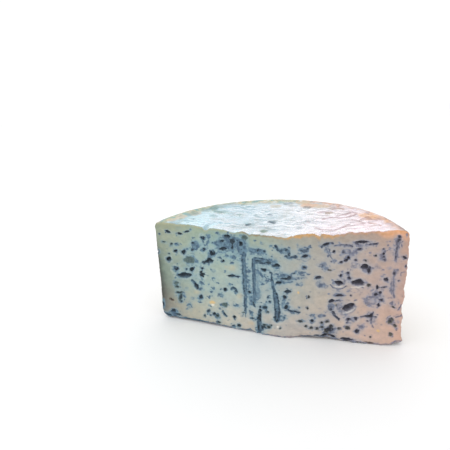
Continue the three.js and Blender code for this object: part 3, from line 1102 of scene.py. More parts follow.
VERTS, FACES = largest_part(VERTS, FACES)

# one light relaxing step along the surface, which evens the cells without moving the outline
edge_a = np.concatenate([FACES[:, 0], FACES[:, 1], FACES[:, 2], FACES[:, 3]])
edge_b = np.concatenate([FACES[:, 1], FACES[:, 2], FACES[:, 3], FACES[:, 0]])
degree = np.bincount(edge_a, minlength=len(VERTS)) + np.bincount(edge_b, minlength=len(VERTS))
for weight in (0.45, -0.47):
    mean = np.stack([np.bincount(edge_a, VERTS[edge_b, c], len(VERTS)) + np.bincount(edge_b, VERTS[edge_a, c], len(VERTS)) for c in range(3)], 1) / degree[:, None]
    VERTS = VERTS + weight * (mean - VERTS)
VERTS[:, 2] = np.maximum(VERTS[:, 2], 0.0)
print("mesh", len(VERTS), "vertices", len(FACES), "faces")

# ---------------------------------------------------------------- what each vertex is
vx, vy, vz = VERTS.T.astype(np.float32)
P = VERTS.astype(np.float32)
d_front, u_front = front_plane(vx, vy)
deep_map = DEPTH.copy()
for _ in range(3):
    deep_map[1:-1, 1:-1] = np.maximum.reduce([deep_map[1:-1, 1:-1], deep_map[:-2, 1:-1], deep_map[2:, 1:-1], deep_map[1:-1, :-2], deep_map[1:-1, 2:]])
s_front = np.maximum(0, -(d_front + sample(deep_map, u_front, vz)) - 0.1)
rr = np.hypot(vx, vy - WHEEL_Y)
theta = np.abs(np.arctan2(vy - WHEEL_Y, vx))
e_top = top_height(vx, vy) - vz
e_wall = WHEEL_R - 0.6 * (2 * vz / RIM_H - 1) ** 2 - wall_inset(theta, vz) - rr
e_bot = vz - bottom_height(vx, vy)
skin_depth = np.minimum(np.minimum(e_top, e_wall), e_bot)
# rounded corners lie deeper than their flats
ft = top_fillet(theta)
fil_t = ft - np.hypot(np.clip(ft - e_top, 0, None), np.clip(ft - e_wall, 0, None))
fb = foot_fillet(theta)
fil_b = fb - np.hypot(np.clip(fb - e_bot, 0, None), np.clip(fb - e_wall, 0, None))
skin_depth = np.where((e_top < ft) & (e_wall < ft), fil_t, skin_depth)
skin_depth = np.where((e_bot < fb) & (e_wall < fb), fil_b, skin_depth)
skin_depth = np.clip(skin_depth, 0, 40)
cut = step(-0.25, 0.45, skin_depth - s_front)

look = {n: sample(m, u_front, vz) * cut for n, m in MAPS.items()}

# --- paste: cooler and greener to the left and top, warmer and pinker to the right and foot; the cyan-to-pink drift along the cut is partly the paste's own tone and partly a painted colour cast of the lights
t = np.clip((u_front + 104) / 201, 0, 1)
h01 = np.clip(vz / 92, 0, 1)
PASTE_T = [0.05, 0.20, 0.35, 0.50, 0.62, 0.75, 0.88, 1.0]
PASTE_HIGH = [(156, 174, 164), (152, 177, 171), (150, 175, 169), (162, 174, 165), (167, 169, 160), (173, 168, 160), (179, 166, 158), (187, 166, 154)]
PASTE_MID = [(146, 164, 155), (164, 183, 177), (170, 186, 179), (170, 179, 174), (175, 176, 168), (180, 174, 166), (186, 170, 163), (187, 168, 160)]
PASTE_LOW = [(158, 166, 156), (181, 190, 180), (186, 191, 183), (185, 185, 177), (190, 182, 173), (191, 180, 171), (196, 177, 168), (200, 177, 165)]
PASTE_GAIN = 0.925
rows = []
for keys in (PASTE_LOW, PASTE_MID, PASTE_HIGH):
    cols = np.array([linear(*c) for c in keys]) * PASTE_GAIN
    rows.append(np.stack([np.interp(t, PASTE_T, cols[:, c]) for c in range(3)], 1))
mix_a = step(8, 46, vz)[:, None]
mix_b = step(42, 84, vz)[:, None]
paste = rows[0] * (1 - mix_a) + rows[1] * mix_a
paste = paste * (1 - mix_b) + rows[2] * mix_b
# paste ripens darker and more olive under the rind at the left-hand end, and is darkened further there as painted
# shade, most at low and middle heights
ripe_and_shade_l = (0.55 * np.exp(-np.clip(e_wall, 0, None) / 12.0) + 0.45 * np.exp(-np.clip(e_wall, 0, None) / 3.0)) * (vx < 0)
ripe_t = np.exp(-np.clip(e_top, 0, None) / 7.0)
ripe_r = np.exp(-np.clip(e_wall, 0, None) / 5.0) * (vx > 0)
paste = paste * (1 - (0.16 + 0.50 * step(86, 50, vz) * step(2, 20, vz) + 0.26 * step(20, 2, vz))[:, None] * ripe_and_shade_l[:, None] * np.array([1.0, 0.93, 1.05])) * (1 - 0.10 * ripe_t[:, None])
paste = paste * (1 - 0.10 * ripe_r[:, None] * np.array([0.2, 0.8, 0.8]))
near_top = np.exp(-np.clip(e_top, 0, None) / 5.0)
paste = paste * (1 - (np.exp(-np.clip(e_top, 0, None) / 9.0) * step(20, -20, u_front))[:, None] * np.array([-0.08, 0.01, 0.20]))
paste = paste * (1 + (step(45, 90, -u_front) * step(45, 75, vz))[:, None] * np.array([0.05, -0.02, -0.06]))
paste = paste * (1 + (step(34, 6, vz) * step(30, -20, u_front))[:, None] * np.array([0.10, 0.0, -0.03]))
# painted shade: darker and more olive near the left-hand wall at low heights
paste = paste * (1 - (np.exp(-np.clip(e_wall, 0, None) / 14.0) * (vx < 0) * step(48, 22, vz))[:, None] * np.array([0.10, 0.24, 0.20]))
paste = paste * (1 + (step(10, 60, u_front) * step(60, 20, vz))[:, None] * np.array([0.06, 0.04, 0.0]))
paste = paste * (1 - (near_top * step(-10, 30, u_front))[:, None] * np.array([0.0, 0.06, 0.13]))
# pinker towards the right: partly the paste's own tone, partly a painted warm colour cast of the lights
paste = paste * (1 + step(0, 60, u_front)[:, None] * np.array([0.03, -0.035, -0.07]))
paste = paste * (1 + step(-10, -60, u_front)[:, None] * np.array([0.02, 0.0, -0.05]))
# painted shade: a dark band down the left-hand end of the cut, below the top
strip = np.exp(-(np.clip(e_wall, 0, None) / (3.0 + 2.6 * step(50, 22, vz) + 1.6 * noise2(vz / 7, vz / 31, 151))) ** 1.5) * (vx < 0) * step(80, 56, vz)
paste = paste * (1 - (0.66 * strip * step(1, 12, vz))[:, None] * np.array([0.98, 1.0, 0.92]))
cloud = fbm2(u_front, vz, 15, 101, 3)
paste = paste * (1 + 0.07 * cloud[:, None])
fleck = fbm2(u_front * 0.8, vz, 4.2, 141, 3, 0.65)
paste = paste * (1 + 0.20 * fleck[:, None] * np.array([1.0, 0.88, 0.72]))
# pinker still at the far right: partly a painted warm colour cast of the lights
paste = paste * (1 + step(45, 95, u_front)[:, None] * np.array([0.01, -0.03, -0.05]))
warmc = fbm2(u_front, vz, 24, 105, 2)[:, None]
paste = paste * (1 + 0.035 * warmc * np.array([1, 0.1, -1.4]))

# --- skin
theta_l = (math.pi - theta) * WHEEL_R
n_a = noise3(P, 24, 111)
n_b = noise3(P, 9, 112)
n_c = noise3(P, 3.6, 113)
tan = linear(206, 186, 158)
cream = linear(222, 214, 196)
grey = linear(176, 184, 172)
teal = linear(140, 168, 160)
orange = linear(224, 176, 132)
brown = linear(150, 122, 90)
blue = linear(104, 126, 142)
n_s = noise3(P, (6.5, 3.6, 6), 118)
n_f = noise3(P, 1.9, 160)


def cloudy(scale, seed, gain=0.55):
    """Three octaves of noise on the skin, domain-warped so that patches get ragged outlines."""
    q = P + 0.16 * scale * np.stack([noise3(P, scale * 0.35, seed + 500), noise3(P, scale * 0.35, seed + 501), noise3(P, scale * 0.35, seed + 502)], 1)
    return (noise3(q, scale, seed) + gain * noise3(q, scale / 2.1, seed + 503) + gain * gain * noise3(q, scale / 4.5, seed + 504)) / (1 + gain)


# the wall and under side: dry tan rind with a dusty grey bloom, ochre stains and blue-grey mould in clusters
rind = np.empty((len(P), 3))
rind[:] = linear(190, 166, 134)
c_a, c_b, c_d, c_e = cloudy(34, 161), cloudy(19, 162), cloudy(26, 163), cloudy(9, 164)
rind += (linear(204, 192, 168) - rind) * (0.85 * step(-0.35, 0.35, c_a))[:, None]
rind += (linear(196, 142, 98) - rind) * (0.60 * step(0.00, 0.42, c_b + 0.12 * (vx / 100)) * step(0.5, -0.3, c_a))[:, None]
dust = step(-0.18, 0.36, c_d + 0.35 * c_e - 0.12 * (vx / 100))
rind += (linear(170, 176, 170) - rind) * (0.66 * dust)[:, None]
rind += (linear(212, 210, 200) - rind) * (0.50 * step(0.05, 0.40, c_e) * step(-0.3, 0.3, c_a))[:, None]
rind += (linear(112, 130, 142) - rind) * (0.62 * step(0.10, 0.34, c_e - 0.4 * c_b) * step(0.0, 0.4, c_d - 0.3 * c_a))[:, None]
rind += (linear(132, 104, 76) - rind) * (0.50 * step(0.16, 0.42, -c_e + 0.3 * c_b) * step(0.30, -0.2, c_d))[:, None]
rind = rind * (1 + 0.13 * n_c[:, None] * np.array([1.0, 0.95, 0.85]) + 0.10 * n_f[:, None] + 0.06 * n_b[:, None])
on_top = step(6.0, 1.5, e_top) * step(98.5, 92.0, rr)
low_side = 1 - on_top
# the foot and the turned edges are darker and greyer
foot_zone = step(16, 2, vz + 3 * n_b) * low_side
rind += (linear(134, 126, 118) - rind) * (0.42 * foot_zone)[:, None]
under = step(3.0, 0.4, e_bot) * step(97, 90, rr)
rind += (linear(158, 158, 148) - rind) * (0.45 * under)[:, None]
rind *= 0.90

# the top: wet white bloom, partly the rind's own pale film and partly painted highlight: its whiteness and the cyan at
# the left and pink at the right stand in for the tinted glare of the lights
bloom_glare_l, bloom_glare_m, bloom_glare_r = linear(150, 186, 198), linear(194, 206, 212), linear(214, 197, 204)
wt = np.clip((vx + 12 * n_b + 60) / 130, 0, 1)
pale = np.stack([np.interp(wt, [0, 0.25, 0.6, 1.0], [bloom_glare_l[c], bloom_glare_l[c], bloom_glare_m[c], bloom_glare_r[c]]) for c in range(3)], 1)
pale = pale * (1 + 0.10 * n_b[:, None] + 0.10 * n_c[:, None] + 0.07 * n_s[:, None] * np.array([1.3, 1.0, 0.7]))
# how far the pale bloom, with its painted glare, covers the top
bloom = 0.78 + 0.20 * step(-0.35, 0.15, n_b * 0.6 + n_c * 0.4 + 0.2 * n_a)
rind += (pale - rind) * (bloom * on_top)[:, None]

# marks placed on the top: x, y, rx, ry, colour, strength
TOP_PATCHES = [(-65.8, 9.5, 6, 6, teal, .8), (-61.2, -0.8, 5, 6, teal, .7), (-51.4, -2.9, 6, 5, teal, .5), (-35.6, -6.1, 4, 4, teal, .45), (-20.7, 36.8, 7, 5, tan, .7), (-8, 24, 6, 5, tan, .5),
               (16.8, 38, 10, 5, tan, .85), (23, 29, 9, 7, orange, .7), (34, 26, 8, 5, tan, .8), (40.6, 7.6, 4, 3, brown, .7), (45.7, 19.5, 6, 4, brown, .5), (72.8, -2.7, 8, 7, orange, .8),
               (77.9, -10.4, 7, 6, orange, .75), (88.9, -16, 5, 8, orange, .7), (-83, -28, 6, 8, tan, .7), (-88, -37, 5, 6, tan, .6), (-75, -13, 6, 8, tan, .6), (-34.7, 29.8, 10, 6, grey, .7), (-3.1, -17.8, 2, 2, blue, .85), (-22.3, -28.3, 1.4, 1.5, blue, .85), (-5.8, -41.4, 2.4, 2, teal, .8)]
patchy = 0.55 * n_s + 0.45 * n_c
for cx, cy, rx, ry, col, amount in TOP_PATCHES:
    e = np.hypot((vx - cx + 2.2 * n_b) / rx, (vy - cy + 2.2 * n_c) / ry) + 0.45 * patchy
    rind += (col - rind) * (amount * (1 - step(0.70, 1.15, e)) * on_top)[:, None]
# rim of the top: drier, mottled olive and teal to the left, orange-tan to the right
rim_band = step(80 + 4 * step(10, 50, vx), 90 + 2 * step(10, 50, vx), rr + 6.0 * n_a + 5.0 * n_b + 3.0 * n_c) * on_top
rim_q = noise3(P + 40, (6.5, 8.5, 6.5), 170) + 0.5 * noise3(P, (3.4, 4.6, 3.4), 171)
right_w = step(0, 30, vx + 8 * n_b)
rim_l = np.stack([np.interp(rim_q, [-0.5, -0.2, 0.0, 0.22, 0.5], [a_, b_, c_, d_, e_]) for a_, b_, c_, d_, e_ in zip(linear(128, 164, 158), linear(176, 180, 142), linear(202, 200, 164), linear(196, 172, 128), linear(212, 222, 214))], 1)
rim_r = np.stack([np.interp(rim_q, [-0.5, -0.25, 0.0, 0.25, 0.5], [a_, b_, c_, d_, e_]) for a_, b_, c_, d_, e_ in zip(linear(158, 122, 110), linear(214, 164, 124), linear(226, 168, 122), linear(214, 182, 158), linear(232, 212, 206))], 1)
rim_col = rim_l * (1 - right_w[:, None]) + rim_r * right_w[:, None]
rind += (rim_col - rind) * ((0.80 - 0.12 * right_w) * rim_band)[:, None]
# the outermost corner of the rim is worn and darker
worn = step(6.0, 1.0, np.abs(e_wall - 1.0)) * step(10, 45, vx) * step(14, 5, e_top) * (1 - cut)
rind += (linear(136, 104, 96) - rind) * (0.78 * worn * step(-0.5, 0.2, n_b + 0.5 * n_c))[:, None]
worn_l = step(6.0, 1.0, np.abs(e_wall - 1.0)) * step(10, -20, vx) * step(14, 5, e_top) * (1 - cut)
rind += (linear(172, 176, 148) - rind) * (0.55 * worn_l * step(-0.4, 0.3, n_b + 0.5 * n_c))[:, None]
# the long wrinkles, painted darker as partly their own colour and partly painted shade of their valleys, and the dark
# dots of the top: colour key, half width, strength, points
TOP_LINES = [('r', 0.9, 0.70, [(38.7, -8.5), (43.7, -5.5), (52.3, -7.3), (58.1, -5.7), (64.3, 1.1)]), ('r', 0.9, 0.62, [(33.8, -32.3), (40.3, -36.3), (48.6, -38.0), (52.3, -34.9), (58.6, -24.5)]), ('r', 0.8, 0.55, [(33.4, 11.0), (38.8, 11.6), (43.9, 11.5)]), ('r', 0.8, 0.55, [(44.2, 19.1), (48.8, 22.5), (52.9, 17.0)]), ('r', 0.9, 0.60, [(49.3, -1.1), (56.4, 3.1), (60.6, 8.6), (64.3, 4.6)]), ('r', 0.8, 0.50, [(56.1, -30.8), (61.3, -28.1), (65.9, -24.1), (70.5, -22.4)]), ('r', 0.9, 0.62, [(68.6, -11.8), (71.7, -8.5), (75.4, -12.7), (79.7, -14.9)]), ('r', 0.8, 0.55, [(73.2, -20.5), (78.3, -24.5), (81.9, -30.8)]), ('r', 0.8, 0.50, [(61.0, -14.0), (65.6, -16.6), (68.6, -21.6)]), ('b', 1.0, 0.55, [(24.6, -13.8), (28.0, -15.2)]), ('b', 1.0, 0.50, [(31.3, -15.6), (34.5, -15.0)]), ('b', 1.1, 0.60, [(21.0, -30.4), (22.2, -30.9)]), ('b', 1.0, 0.50, [(19.1, -21.7), (20.5, -22.3)]), ('k', 1.3, 0.85, [(-5.5, -16.4), (-3.0, -17.6), (-1.0, -18.8)]), ('k', 1.2, 0.80, [(-23.0, -28.5), (-21.6, -27.9)]), ('o', 1.6, 0.75, [(-6.4, -40.5), (-4.6, -40.8)]), ('b', 1.3, 0.60, [(-9.0, 1.4), (-7.1, -1.1)]), ('t', 2.4, 0.70, [(-65.8, 7.6), (-62.8, 5.3)]), ('t', 2.0, 0.60, [(-58.3, -2.0), (-55.6, -3.0)]), ('t', 2.0, 0.55, [(-77.7, -9.3), (-74.5, -14.4)]), ('t', 1.8, 0.50, [(-57.6, -13.9), (-54.3, -15.2)]), ('t', 1.8, 0.45, [(-71.4, -0.0), (-68.1, -0.8)]), ('t', 1.8, 0.45, [(-79.4, -19.4), (-76.9, -19.7)]), ('k', 1.6, 0.60, [(19.0, 24.4), (21.8, 23.8)]), ('b', 1.8, 0.50, [(0.0, 32.4), (3.6, 33.8)]), ('r', 1.1, 0.60, [(71.9, 18.8), (76.6, 11.7), (81.1, 4.8)]), ('r', 1.1, 0.62, [(82.5, 1.1), (86.6, -7.7), (89.8, -16.2)])]
line_mask = np.zeros(len(P))
LINE_COLOURS = {"r": linear(150, 112, 116), "b": linear(120, 140, 152), "k": linear(62, 84, 100), "o": linear(104, 130, 112), "t": linear(96, 134, 132)}
top_sel = np.nonzero(on_top > 0.05)[0]
lx, ly = vx[top_sel] + 1.3 * n_b[top_sel] + 0.6 * n_c[top_sel], vy[top_sel] + 1.6 * n_b[top_sel] + 1.0 * n_c[top_sel]
for key, half, amount, pts in TOP_LINES:
    near = np.full(len(top_sel), 99.0)
    for (x0, y0), (x1, y1) in zip(pts[:-1], pts[1:]):
        ex, ey = x1 - x0, (y1 - y0)
        k = np.clip(((lx - x0) * ex + (ly - y0) * ey) / max(ex * ex + ey * ey, 1e-6), 0, 1)
        near = np.minimum(near, np.hypot((lx - x0 - k * ex) * 1.2, (ly - y0 - k * ey) * 0.8))
    w = np.clip(1.25 * amount, 0, 0.95) * step(half * 2.4, half * 1.0, near) * (0.78 + 0.22 * np.clip(1.5 * n_c[top_sel], -1, 1))
    rind[top_sel] += (LINE_COLOURS[key] - rind[top_sel]) * w[:, None]
    line_mask[top_sel] = np.maximum(line_mask[top_sel], w)

# --- the thin cut edge of the rind
thick = 1.0 + 0.75 * noise2(u_front / 4.4, vz / 30, 121) + 0.55 * noise2(u_front / 1.9, vz / 30, 122) + np.interp(u_front, [-104, 6, 20, 46, 54, 72, 80, 90, 98], [0, 0, 0.9, 0.9, 0.1, 0.1, 1.5, 2.2, 2.6]) + step(6, 20, u_front) * 0.9 * noise2(u_front / 3.4, vz * 0 + 7.3, 125)
band_t = 1 - step(thick - 0.5, thick + np.interp(u_front, [-104, 6, 20, 74, 84, 98], [1.2, 1.2, 1.8, 1.8, 5.0, 6.0]), e_top)
EDGE_U = [-104, -30, -20, -6, 10, 18, 46, 54, 74, 82, 100]
EDGE_C = [(172, 172, 142), (172, 172, 142), (146, 120, 84), (142, 112, 76), (186, 152, 104), (200, 156, 100), (198, 154, 104), (184, 144, 122), (190, 150, 124), (226, 166, 120), (226, 164, 118)]
edge_lin = [linear(*c) for c in EDGE_C]
edge_col = np.stack([np.interp(u_front, EDGE_U, [e_[c] for e_ in edge_lin]) for c in range(3)], 1)
vary = noise2(u_front / 2.4, vz / 2.2, 126)[:, None]
edge_col = edge_col * (1 + step(0, 20, u_front)[:, None] * vary * np.array([0.16, 0.22, 0.45]))
keep_t = 0.80 + 0.35 * noise2(u_front / 5, vz / 3, 123)
paste += (edge_col - paste) * np.clip(band_t * keep_t, 0, 1)[:, None]
thick_b = 1.5 + 0.9 * noise2(u_front / 5.0, vz / 30, 124) + 0.5 * noise2(u_front / 1.9, vz / 30, 127)
band_b = 1 - step(thick_b - 0.35, thick_b + 0.35, e_bot)
foot_col = np.stack([np.interp(u_front, [-104, -60, -25, 10, 40, 56, 66, 78, 98], [c0, c1, c1, c2, c3, c3, c4, c2, c2]) for c0, c1, c2, c3, c4 in zip(linear(88, 100, 122), linear(98, 110, 132), linear(140, 130, 138), linear(76, 62, 60), linear(104, 92, 100))], 1)
paste += (foot_col - paste) * (0.82 * band_b)[:, None]
band_w = 1 - step(0.5, 1.3, np.where(e_top > 9, e_wall, 9))
side_col = np.where((vx > 0)[:, None], linear(190, 148, 136), linear(122, 118, 108))
paste += (side_col - paste) * (0.5 * band_w)[:, None]

foot_rind = step(3.4, 1.2, e_bot) * step(-7, -2.5, d_front) * (1 - on_top)
rind += (foot_col - rind) * (0.75 * foot_rind)[:, None]
corner_dark = step(26, 10, theta_l) * step(26, 12, vz) * (1 - on_top) * step(-16, -6, d_front)
rind += (linear(84, 86, 104) - rind) * (0.7 * corner_dark)[:, None]
# painted shade: the rind at the very left-hand end, beside the cut and below the top, is darkened
left_end_rind_shade = step(10, 3, theta_l) * step(80, 60, vz) * step(-8, -2, d_front)
rind = rind * (1 - 0.45 * left_end_rind_shade[:, None])
# painted shade and highlight: hollows of the top skin are painted darker, crests paler
rel = np.where(e_top < 3, top_relief(vx, vy), 0.0)
rind = rind * (1 + 0.10 * np.clip(rel, -1, 1)[:, None] * on_top[:, None])
# creases of the top are painted darker: partly their own colour, partly painted shade in the valleys
crease_tone_and_shade = np.where(e_top < 3, top_creases(vx, vy), 0.0) * on_top
crease_colour_and_shade = np.where((vx > 10)[:, None], linear(160, 128, 132), linear(128, 158, 166))
rind += (crease_colour_and_shade - rind) * (crease_tone_and_shade * (0.30 + 0.55 * step(0, 50, vx)) * step(-0.55, 0.25, n_b + 0.5 * n_a))[:, None]
spk = step(0.30, 0.52, noise3(P + 5, (4.6, 5.5, 4.6), 119) + 0.3 * n_c) * on_top * step(66, 84, rr + 4 * n_b)
rind += (np.where((vx > 15)[:, None], linear(196, 160, 140), linear(140, 158, 138)) - rind) * (0.55 * spk)[:, None]
spt = step(0.40, 0.58, noise3(P + 91, (3.4, 5.0, 4.0), 120)) * on_top * step(84, 60, rr)
rind += (np.where((vx > 25)[:, None], linear(196, 172, 176), linear(128, 162, 172)) - rind) * (0.50 * spt)[:, None]

tint = paste * cut[:, None] + rind * (1 - cut[:, None])
tint = np.clip(tint, 0.01, 0.95)

# mould flecks on the skin join the same mask as the veins
skin_mould = (1 - cut) * 0.52 * step(0.34, 0.66, noise3(P + 11, 4.2, 131) + 0.40 * n_f + 0.35 * (c_d - 0.2) * low_side) * (0.30 + 0.70 * low_side)
edge_mould = cut * band_b * step(-0.3, 0.3, noise2(u_front / 4, vz / 4, 133)) * 0.7
mould = np.clip(look["mould"] + skin_mould + edge_mould, 0, 1)
gloss = (1 - cut) * on_top * step(0, 1, (np.interp(vx, [-60, 30, 60], [91, 89, 96]) - rr - 4 * n_b) / np.interp(vx, [-40, 30, 60], [20, 20, 14])) * step(-0.75, 0.0, n_a * 0.5 + n_b * 0.5 + 0.25)
gloss = gloss * (1 - 0.85 * line_mask)
for cx, cy, rx, ry, col, amount in TOP_PATCHES:
    if col is tan or col is orange:
        gloss = gloss * (1 - 0.7 * (1 - step(0.5, 1.2, np.hypot((vx - cx) / rx, (vy - cy) / ry))))

# ---------------------------------------------------------------- mesh
me = bpy.data.meshes.new("blue_cheese_wedge")
me.vertices.add(len(VERTS))
me.vertices.foreach_set("co", (VERTS / 1000).astype(np.float32).ravel())
me.loops.add(len(FACES) * 4)
me.loops.foreach_set("vertex_index", FACES.astype(np.int32).ravel())
me.polygons.add(len(FACES))
me.polygons.foreach_set("loop_start", np.arange(0, len(FACES) * 4, 4, dtype=np.int32))
me.polygons.foreach_set("loop_total", np.full(len(FACES), 4, np.int32))
me.update(calc_edges=True)
me.validate()
me.shade_smooth()


def vector_attribute(name, columns):
    a = me.attributes.new(name, "FLOAT_VECTOR", "POINT")
    a.data.foreach_set("vector", np.stack(columns, 1).astype(np.float32).ravel())


vector_attribute("tint", list(tint.T))
vector_attribute("veins", [mould, look["hole"], look["olive"]])
vector_attribute("warm", [look["yellow"], look["brown"], look["white"]])
vector_attribute("skin", [cut, gloss, look["haze"]])
vector_attribute("lips", [look["lip"], look["pale"], u_front / 100])

# Maps: the cut, the wall, the top and the under side each lie flat in their own strip
centre = VERTS[FACES].mean(1)
f_sf, f_et, f_ew, f_eb = s_front[FACES].mean(1), np.abs(e_top[FACES]).mean(1), np.abs(e_wall[FACES]).mean(1), np.abs(e_bot[FACES]).mean(1)
chart = np.argmin(np.stack([f_sf, f_et, f_ew, f_eb]), 0)
cu, cv = u_front[FACES], vz[FACES]
fx, fy, fth = vx[FACES], vy[FACES], theta[FACES]
uv = np.empty(FACES.shape + (2,), np.float32)
m = chart == 0
uv[m] = np.stack([0.012 + (cu[m] + 105.5) * 0.00472, 0.542 + cv[m] * 0.00472], -1)
m = chart == 1
uv[m] = np.stack([0.012 + (fx[m] + 101) * 0.00238, 0.010 + (fy[m] + 56) * 0.00232], -1)
m = chart == 2
uv[m] = np.stack([0.012 + fth[m] * 100 * 0.00308, 0.275 + cv[m] * 0.00268], -1)
m = chart == 3
uv[m] = np.stack([0.508 + (fx[m] + 101) * 0.00238, 0.010 + (fy[m] + 56) * 0.00232], -1)
layer = me.uv_layers.new(name="OFBake")
layer.data.foreach_set("uv", uv.ravel())

cheese = bpy.data.objects.new("blue_cheese_wedge", me)
bpy.context.scene.collection.objects.link(cheese)

# ---------------------------------------------------------------- material
mat = bpy.data.materials.new("blue_cheese")
mat.use_nodes = True
nt = mat.node_tree
nodes, links = nt.nodes, nt.links
nodes.clear()


def node(kind, **settings):
    n = nodes.new(kind)
    for key, value in settings.items():
        setattr(n, key, value)
    return n


def feed(socket, value):
    if isinstance(value, bpy.types.NodeSocket):
        links.new(value, socket)
    elif isinstance(value, (tuple, list, np.ndarray)) and len(value) == 3 and socket.type == "RGBA":
        socket.default_value = (*[float(v) for v in value], 1.0)
    else:
        socket.default_value = value


def math_(op, a, b=None, c=None, clamp=False):
    n = node("ShaderNodeMath", operation=op, use_clamp=clamp)
    feed(n.inputs[0], a)
    if b is not None:
        feed(n.inputs[1], b)
    if c is not None:
        feed(n.inputs[2], c)
    return n.outputs[0]


def mix(a, b, factor, blend="MIX"):
    n = node("ShaderNodeMix", data_type="RGBA", blend_type=blend)
    n.clamp_factor = True
    feed(n.inputs["Factor"], factor)
    feed(n.inputs[6], a)
    feed(n.inputs[7], b)
    return n.outputs[2]


def ramp(value, lo, hi, out_lo=0.0, out_hi=1.0):
    n = node("ShaderNodeMapRange", interpolation_type="SMOOTHSTEP")
    feed(n.inputs[0], value)
    n.inputs[1].default_value, n.inputs[2].default_value = lo, hi
    n.inputs[3].default_value, n.inputs[4].default_value = out_lo, out_hi
    return n.outputs[0]


coords = node("ShaderNodeTexCoord").outputs["Object"]


def grain(scale_mm, detail=2.0, rough=0.5, stretch=(1, 1, 1), distortion=0.0, shift=0.0):
    """Noise with features of about scale_mm."""
    mp = node("ShaderNodeMapping")
    links.new(coords, mp.inputs[0])
    mp.inputs["Location"].default_value = (shift, shift * 1.7, -shift)
    mp.inputs["Scale"].default_value = stretch
    n = node("ShaderNodeTexNoise")
    links.new(mp.outputs[0], n.inputs["Vector"])
    n.inputs["Scale"].default_value = 1000.0 / scale_mm
    n.inputs["Detail"].default_value = detail
    n.inputs["Roughness"].default_value = rough
    n.inputs["Distortion"].default_value = distortion
    return n.outputs["Fac"]


def attribute(name):
    n = node("ShaderNodeAttribute", attribute_name=name)
    s = node("ShaderNodeSeparateXYZ")
    links.new(n.outputs["Vector"], s.inputs[0])
    return n.outputs["Color"], s.outputs[0], s.outputs[1], s.outputs[2]


tint_c = attribute("tint")[0]
_, a_mould, a_hole, a_olive = attribute("veins")
_, a_yellow, a_brown, a_white = attribute("warm")
_, a_cut, a_gloss, a_haze = attribute("skin")
_, a_lip, a_pale, a_side = attribute("lips")

g_fine = grain(1.1, 3.0, 0.65)
g_mid = grain(3.2, 3.0, 0.6, shift=0.31)
g_big = grain(14.0, 2.0, 0.5, shift=0.77)
g_flat = grain(6.0, 3.0, 0.6, stretch=(0.5, 0.8, 1.0), shift=0.13)

# paste and skin: base tint, mottled
base = tint_c
mottle = math_("ADD", math_("MULTIPLY", math_("SUBTRACT", g_fine, 0.5), 0.16), math_("ADD", 1.0, math_("MULTIPLY", math_("SUBTRACT", g_mid, 0.5), 0.16)))
scale_n = node("ShaderNodeVectorMath", operation="SCALE")
links.new(base, scale_n.inputs[0])
links.new(mottle, scale_n.inputs["Scale"])
base = scale_n.outputs[0]
# blue haze round the veins, only in the paste
base = mix(base, linear(206, 212, 210), math_("MULTIPLY", a_pale, 0.42))
haze_c = mix(linear(126, 162, 176), linear(150, 156, 170), ramp(a_side, -0.05, 0.6))
base = mix(base, haze_c, math_("MULTIPLY", ramp(a_haze, 0.06, 0.75, 0.0, 0.62), math_("ADD", 0.55, math_("MULTIPLY", g_mid, 0.7)), clamp=True))

# mould: slate blue to grey-green, purple-grey towards the right-hand end
blue_l = mix(linear(64, 90, 114), linear(104, 134, 152), ramp(g_mid, 0.36, 0.64))
blue_r = mix(linear(86, 90, 112), linear(128, 130, 148), ramp(g_mid, 0.36, 0.64))
blue_m = mix(blue_l, blue_r, ramp(a_side, -0.05, 0.75))
m_edge = math_("ADD", a_mould, math_("MULTIPLY", math_("SUBTRACT", g_fine, 0.5), math_("MULTIPLY", 0.9, ramp(a_mould, 0.02, 0.35))))
m_mask = math_("MULTIPLY", ramp(m_edge, 0.08, 0.80), ramp(a_side, 0.2, 0.9, 1.0, 0.84))
base = mix(base, blue_m, math_("MULTIPLY", m_mask, 0.93))

# olive, brown, yellow, white marks
olive_c = mix(linear(86, 106, 102), linear(88, 88, 78), ramp(a_side, -0.3, 0.3))
base = mix(base, olive_c, math_("MULTIPLY", ramp(math_("ADD", a_olive, math_("MULTIPLY", math_("SUBTRACT", g_mid, 0.5), 0.2)), 0.12, 0.6), 0.88))
base = mix(base, linear(98, 82, 68), math_("MULTIPLY", ramp(math_("ADD", a_brown, math_("MULTIPLY", math_("SUBTRACT", g_fine, 0.5), 0.5)), 0.25, 0.8), 0.85))
base = mix(base, linear(222, 186, 120), math_("MULTIPLY", a_yellow, 0.85))
base = mix(base, linear(240, 236, 226), math_("MULTIPLY", a_white, 0.85))

# eyes: lined with dark blue-green mould, painted near-black as partly its own colour and partly painted shade of the
# cavity; paler on the lower lip, where the floor facing up is partly painted light
h_edge = math_("ADD", a_hole, math_("MULTIPLY", math_("SUBTRACT", g_fine, 0.5), math_("MULTIPLY", 0.55, ramp(a_hole, 0.02, 0.3))))
h_mask = ramp(h_edge, 0.06, 0.72)
lining_and_shade_l = mix(linear(26, 38, 46), linear(46, 60, 70), ramp(g_mid, 0.40, 0.62))
lining_and_shade_r = mix(linear(42, 40, 50), linear(66, 64, 76), ramp(g_mid, 0.40, 0.62))
dark = mix(lining_and_shade_l, lining_and_shade_r, ramp(a_side, 0.0, 0.7))
lip_c = mix(linear(92, 116, 134), linear(116, 116, 132), ramp(a_side, 0.0, 0.6))
dark = mix(dark, lip_c, math_("MULTIPLY", a_lip, ramp(g_fine, 0.3, 0.6, 0.35, 0.85)))
base = mix(base, dark, math_("MULTIPLY", h_mask, 0.97))

# fine darker flecks on the skin
flecks = math_("MULTIPLY", ramp(grain(2.2, 3.0, 0.7, shift=1.9), 0.60, 0.70), math_("SUBTRACT", 1.0, a_cut))
base = mix(base, linear(120, 104, 84), math_("MULTIPLY", flecks, 0.45))

